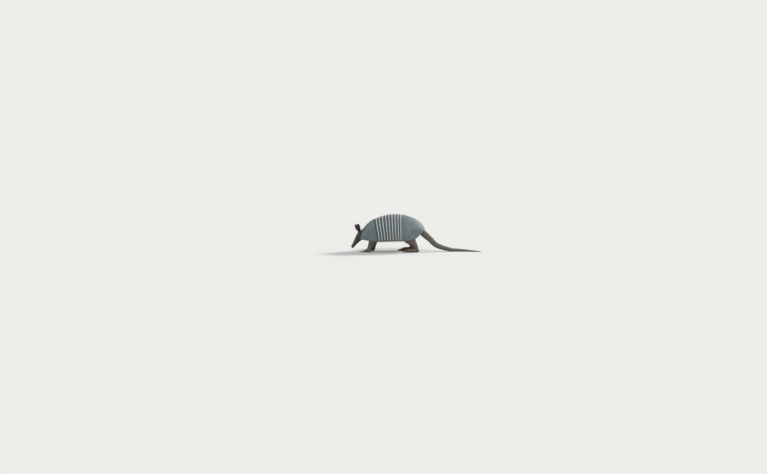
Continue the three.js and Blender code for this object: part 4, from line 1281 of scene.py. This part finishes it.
def tail_piece(node_name, shares, lifts, rows, guide=None):
    """A length of tail: a smooth core with rows of scutes over it, each (share, number round, turned).
    The guide is one more such row behind them, which only shapes the last row's rear ends."""
    radii = [tail_radius(share) + lift for share, lift in zip(shares, lifts)]
    core = rolled(np.maximum(tail_rings(shares, radii), (-1e9, -1e9, 0.3)))
    core_tree = BVHTree.FromBMesh(core)
    marked(core)
    seeds, reaches, outs = [], [], []
    for share, number, turned in rows:
        points, ways = around(share, number, turned, np.interp(share, shares[2:-2], lifts[2:-2]))
        seeds += points
        outs += ways
        reaches += [math.pi * tail_radius(share) / number * 1.5] * number
    rim, behind = [Vector(tail_rings([share], [1])[0].mean(axis=0))
                   for share in (shares[-3], min(shares[-3] + 0.002, 1))]

    def settle(corner):
        """A corner laid on the core, or left to stand over its rim."""
        return corner if (corner - rim).dot(behind - rim) > 0 else core_tree.find_nearest(corner)[0]

    guides = around(*guide)[0] if guide else ()
    add_scutes(core, core_tree, seeds, reaches, 0.3, 0.4, TAIL_SCUTE_STEPS, settle, outs, guides)
    for vert in core.verts:
        vert.co.z = max(vert.co.z, 0.05)
    piece(f"{node_name}_scutes", core, tail_horn, "tail", node_name)


RING_LIFTS = (-3, -1.6, -1.1, -0.5, -0.1, 0.1, -0.4, -2.4)
ring_share = RINGED_SHARE / (RING_COUNT + 1)
for index in range(RING_COUNT):
    start = (index + 1) * ring_share if index else -0.8 * ROOT_SHARE
    end = (index + 2) * ring_share
    run = end - start
    hidden = start - (0.012 if index else 0)
    number = max(9, round(2 * math.pi * tail_radius(start) / TAIL_SCUTE))
    shares = [hidden, hidden + 1e-4, start + 2e-4, start + run * 0.3, end - run * 0.25, end - 0.0012,
              end - 0.0008, end - 0.002]
    rows = [(end - ring_share * (0.22 + 0.44 * k), number, k % 2) for k in range(2 if index else 7)]
    tail_piece(f"tail_ring_{index + 1}", shares, RING_LIFTS, rows, (end + ring_share * 0.3, number, 1))

END_LIFTS = (-0.7,) * 12
tip_from = RINGED_SHARE + (1 - RINGED_SHARE) / 2
for name, start, end, lifts in (("tail_end", RINGED_SHARE, tip_from, (-2.5, -1.6, *END_LIFTS, -0.8, -2.2)),
                                ("tail_tip", tip_from, 1, (-2, -1.2, *END_LIFTS, -0.8, -1.2))):
    middle = np.linspace(start, end - 0.002, len(END_LIFTS))
    shares = [start - 0.008, start - 0.0079, *middle, end - 0.001, end]
    rows, place = [], start + 0.004
    while place < end - 0.004:
        round_it = 2 * math.pi * tail_radius(place)
        number = max(6, round(round_it / END_SCUTE))
        rows.append((place, number, len(rows) % 2))
        place += round_it / number * 0.95 / TAIL_LENGTH
    tail_piece(name, shares, lifts, rows)

# ---- scales of the legs and head ------------------------------------------------------------------
# The lower legs and the feet are covered with flat rounded scales of horn that lie side by side, larger
# on the legs than on the toes, and the cheeks with small ones. The soles and the insides stay bare.
SCALE_STEPS = ((0.1, 0.2), (0.3, 0.14))
scale_horn = horn("scale horn", 0x5D5449, 0x332D28, 0x8F8370, variety=0.3, wear=0.3)
cheek_horn = horn("cheek horn", 0x3B3630, 0x24211E, 0x645C51, variety=0.25, wear=0.2)
hide_tree = BVHTree.FromBMesh(hide_copy)


def scattered(where, spacing, seed):
    """Points spread over the hide where its vertices say, no nearer than a spacing."""
    bm = hide_copy.copy()
    layer = bm.verts.layers.float.new("where")
    for vert, value in zip(bm.verts, where.astype(float)):
        vert[layer] = value
    nodes = geometry_chain(("DistributePointsOnFaces", {}), ("PointsToVertices", {}))
    strewn = next(each for each in nodes.nodes if "Distribute" in each.bl_idname)
    strewn.distribute_method = "POISSON"
    for title, value in (("Distance Min", spacing), ("Density Max", 4 / spacing**2), ("Seed", seed)):
        strewn.inputs[title].default_value = value
    wanted = nodes.nodes.new("GeometryNodeInputNamedAttribute")
    wanted.inputs["Name"].default_value = "where"
    nodes.links.new(wanted.outputs["Attribute"], strewn.inputs["Density Factor"])
    points = modified(bm, "NODES", node_group=nodes)
    found = [vert.co.copy() for vert in points.verts]
    points.free()
    return found


def evened(points, spacing, rounds=4):
    """Points on the hide pushed apart, so that the gaps between them even out."""
    for _ in range(rounds):
        near = near_points(points)
        moved = []
        for point in points:
            push = Vector()
            for other, _, far in near.find_n(point, 8)[1:]:
                if 0 < far < 1.6 * spacing:
                    push += (point - other) / far * (1 - far / (1.6 * spacing)) * spacing
            moved.append(hide_tree.find_nearest(point + push * 0.22)[0])
        points = moved
    return points


outside = np.sign(flesh.co[:, 1]) * flesh.normal[:, 1] + 0.7 * np.abs(flesh.normal[:, 0])
leg_where = (on_leg > 0.5) * ramp(-flesh.co[:, 2], -62, -50) * (outside > -0.15) > 0.5
foot_where = (on_foot > 0.5) & (flesh.normal[:, 2] > -0.15) & (flesh.co[:, 2] > 2.2)
eye_far = np.minimum(*[np.linalg.norm(flesh.co - np.array(eye[0]), axis=1) for eye in EYES.values()])
face_side = (on_head > 0.6) & (along < 90) & (eye_far > 8) & (flesh.spread(on_ear, 16) < 0.05)
face_side &= side > np.interp(along, *SHIELD_OUTLINE) + 1.2
cheek_where = face_side & (along > 8) & (up > mouth_level(along) + 2.2)

# What grows on the hide gets small patches in its OFBake map, each at its root's place on the hide laid out
# flat. Each part of the hide has a tile there, given by its left, bottom, width and height.
TILES = {"trunk": (0, 0, 1, 0.4), "neck": (0, 0.41, 0.45, 0.12), "head": (0, 0.54, 0.45, 0.2),
         "ear": (0.46, 0.41, 0.54, 0.33), "leg": (0, 0.75, 1, 0.13), "foot": (0, 0.89, 0.99, 0.1)}
TURN = 6.6  # a little more than a whole turn
PATCH = 0.003


def flat_place(root):
    """Where a point of the hide lies once the hide is laid out flat."""
    part = part_at(root)
    fore = root.x < 0
    limb = fore * 2 + (root.y < 0)
    if part == "leg":
        rows = np.transpose((FORE_LEG if fore else HIND_LEG)[::-1])
        x, y = [np.interp(root.z, rows[2], rows[k]) for k in (0, 1)]
        u, v = (limb + 0.5 + math.atan2(abs(root.y) - y, root.x - x) / TURN) / 4, root.z / 110
    elif part == "foot":
        x = (root.x + (165 if fore else -30)) / 110
        u, v = (limb + x / 2 + 0.5 * (root.z < 4)) / 4, (abs(root.y) - 25) / 50
    elif part == "head":
        root = TO_HEAD @ root
        u, v = 0.5 + math.atan2(root.y, root.z) / TURN, (10 - root.x) / 112
    else:
        u, v = 0.5 + math.atan2(root.y, root.z - 90) / TURN, (root.x + 175) / 345
    left, bottom, wide, high = TILES[part]
    return left + wide * min(max(u, 0.01), 0.99), bottom + high * min(max(v, 0.01), 0.99)


def patch_plates(bm, tops):
    """Lays each closed plate out as a patch: its top and sides together, and its underside beside them."""
    layer = bm.loops.layers.uv.new("OFBake")
    for top in tops:
        centre, out = top.calc_center_median(), top.normal.copy()
        across = out.orthogonal()
        upward = out.cross(across)
        plate, reached = {top}, [top]
        while reached:
            for edge in reached.pop().edges:
                for face in edge.link_faces:
                    if face not in plate:
                        plate.add(face)
                        reached.append(face)
        size = max((vert.co - centre).length for face in plate for vert in face.verts)
        u, v = flat_place(centre)
        for face in plate:
            shift = PATCH * 1.1 if face.normal.dot(out) < -0.5 else 0
            for loop in face.loops:
                way = loop.vert.co - centre
                grow = PATCH * 0.4 / size * (1 + 0.3 * max(-way.dot(out), 0) / size)
                loop[layer].uv = (u + shift + way.dot(across) * grow, v + way.dot(upward) * grow)


def scute_coat(name, roots, reaches, thickness, steps, finish):
    """A coat of scutes that grows on the hide, each laid out as a patch of its own."""
    coat = bmesh.new()
    patch_plates(coat, add_scutes(coat, hide_tree, roots, reaches, 0.2, thickness, steps))
    piece(name, coat, finish, "skin")


for name, where, spacing, rise, finish in (("leg_scales", leg_where, 4.3, 0.4, scale_horn),
                                           ("foot_scales", foot_where, 3.1, 0.35, scale_horn),
                                           ("cheek_scales", cheek_where, 2.7, 0.2, cheek_horn)):
    points = evened(scattered(where, spacing, 3), spacing)
    scute_coat(name, points, [spacing * 0.8] * len(points), rise, SCALE_STEPS, finish)

# ---- belly ----------------------------------------------------------------------------------------
# The belly has no armour. Small warts cross it in rows, each a low leathery dome of its own, and the
# longest hairs of the animal grow out of them by threes.
WART_ROWS, WART_PITCH, WART_REACH = 9.5, 7.0, 1.8
WART_STEPS = ((0.22, 0.3), (0.45, 0.16))
BELLY_FROM, BELLY_TO, BELLY_TOP, BELLY_TURN = -112, 122, 76, 1.45
belly_roots = []
for row, x in enumerate(np.arange(BELLY_FROM, BELLY_TO, WART_ROWS)):
    turn = 0.06 * (row % 2) - BELLY_TURN
    while turn < BELLY_TURN:
        at = Vector((x + chance.normal(0, 0.8), 0, 100))
        hit, _, _, far = hide_tree.ray_cast(at, Vector((0, math.sin(turn), -math.cos(turn))))
        if hit and part_at(hit) == "trunk" and hit.z < BELLY_TOP and far < 90:
            belly_roots.append(hit)
        turn += WART_PITCH * chance.uniform(0.9, 1.1) / min(far or 50, 70)
reaches = [WART_REACH * size for size in chance.uniform(0.75, 1.15, len(belly_roots))]
wart_hide = horn("wart hide", 0x86756A, 0x66564C, 0xA59587, grain=1.5, wear=0.3, variety=0.5)
scute_coat("belly_warts", belly_roots, reaches, 0.45, WART_STEPS, wart_hide)

# ---- hair -----------------------------------------------------------------------------------------
# The animal is nearly bare: stiff pale hairs grow in rows on the belly, and shorter ones on the thighs,
# the throat and the cheeks.
hair_pale, look = material("hair")
look.shade(Base_Color=look.mix(look.marks()[0], paint(0x8D7F68), paint(0xD2C7AE)), Roughness=0.45)

one_hair = bmesh.new()
bmesh.ops.create_cone(one_hair, cap_ends=True, segments=3, radius1=1, radius2=0.15, depth=1,
                      matrix=Matrix.Translation((0, 0, 0.5)), calc_uvs=False)
for height in (0.35, 0.7):
    bmesh.ops.bisect_plane(one_hair, geom=one_hair.verts[:] + one_hair.edges[:] + one_hair.faces[:],
                           plane_co=(0, 0, height), plane_no=(0, 0, 1))
layer = one_hair.loops.layers.uv.new("OFBake")
for face in one_hair.faces:
    middle = face.calc_center_median()
    start = math.atan2(middle.y, middle.x)
    for loop in face.loops:
        x, y, z = loop.vert.co
        turn = (math.atan2(y, x) - start + math.pi) % (2 * math.pi) - math.pi
        side_on = ((start + turn + math.pi) / (2 * math.pi), z * 0.8)
        end_on = (0.5 + x * 0.3, (0.9 if middle.z > 0.5 else -0.1) + y * 0.09)
        loop[layer].uv = Vector(side_on if abs(face.normal.z) < 0.9 else end_on) * PATCH


def hairs(name, roots, length, thick, lie, droop, number, stray):
    """Stiff hairs, so many to a root, which lean over towards their lie and droop."""
    mesh = bpy.data.meshes.new("hair")
    one_hair.to_mesh(mesh)
    shape = np.array([vert.co for vert in one_hair.verts])
    z = shape[:, 2:]
    coat = bmesh.new()
    places, tones, shifts = [], [], []
    for root in roots:
        out = hide_tree.find_nearest(root)[1]
        u, v = flat_place(root)
        for k in range(number):
            way = Vector(lie) + Vector(chance.normal(0, stray, 3))
            way = (way - out * way.dot(out)).normalized()
            start = root + Vector(chance.normal(0, 0.4, 3)) - out * 0.4
            run = length * chance.uniform(0.6, 1.15)
            bent = np.array(out) * (0.55 * z - 0.2 * z**2) + np.array(way) * (0.5 * z + 0.3 * z**2)
            bent[:, 2] -= droop * z[:, 0] ** 2
            wide = np.array(out.cross(way)) * shape[:, :1] + np.array(out - way) * 0.7 * shape[:, 1:2]
            places.append(np.array(start) + bent * run + wide * thick)
            tones += [chance.random()] * len(shape)
            shifts += [(u + k * PATCH * 1.1, v)] * len(one_hair.faces)
            coat.from_mesh(mesh)
    bpy.data.meshes.remove(mesh)
    layer = marked(coat)
    for vert, at, tone in zip(coat.verts, np.vstack(places), tones):
        vert.co = at
        vert[layer] = (tone, 0, 0, 1)
    layer = coat.loops.layers.uv["OFBake"]
    for face, shift in zip(coat.faces, shifts):
        for loop in face.loops:
            loop[layer].uv += Vector(shift)
    piece(name, coat, hair_pale, "skin")


thigh = (on_leg > 0.6) & ~leg_where & (flesh.co[:, 2] < 64)
throat = (on_neck > 0.5) & (flesh.normal[:, 2] < 0.2) & (flesh.co[:, 0] < -125)
throat |= face_side & (up < -6) & (along < 60)
hairs("belly_hair", belly_roots, 11, 0.13, (1, 0, -0.3), 0.3, 3, 0.35)
for name, where, spacing, length, thick, lie in (("leg_hair", thigh, 4.5, 6, 0.1, (0.2, 0, -1)),
                                                 ("throat_hair", throat, 3.6, 3.6, 0.08, (1, 0, 0.3))):
    hairs(name, evened(scattered(where, spacing, 5), spacing, 2), length, thick, lie, 0.1, 1, 0.2)
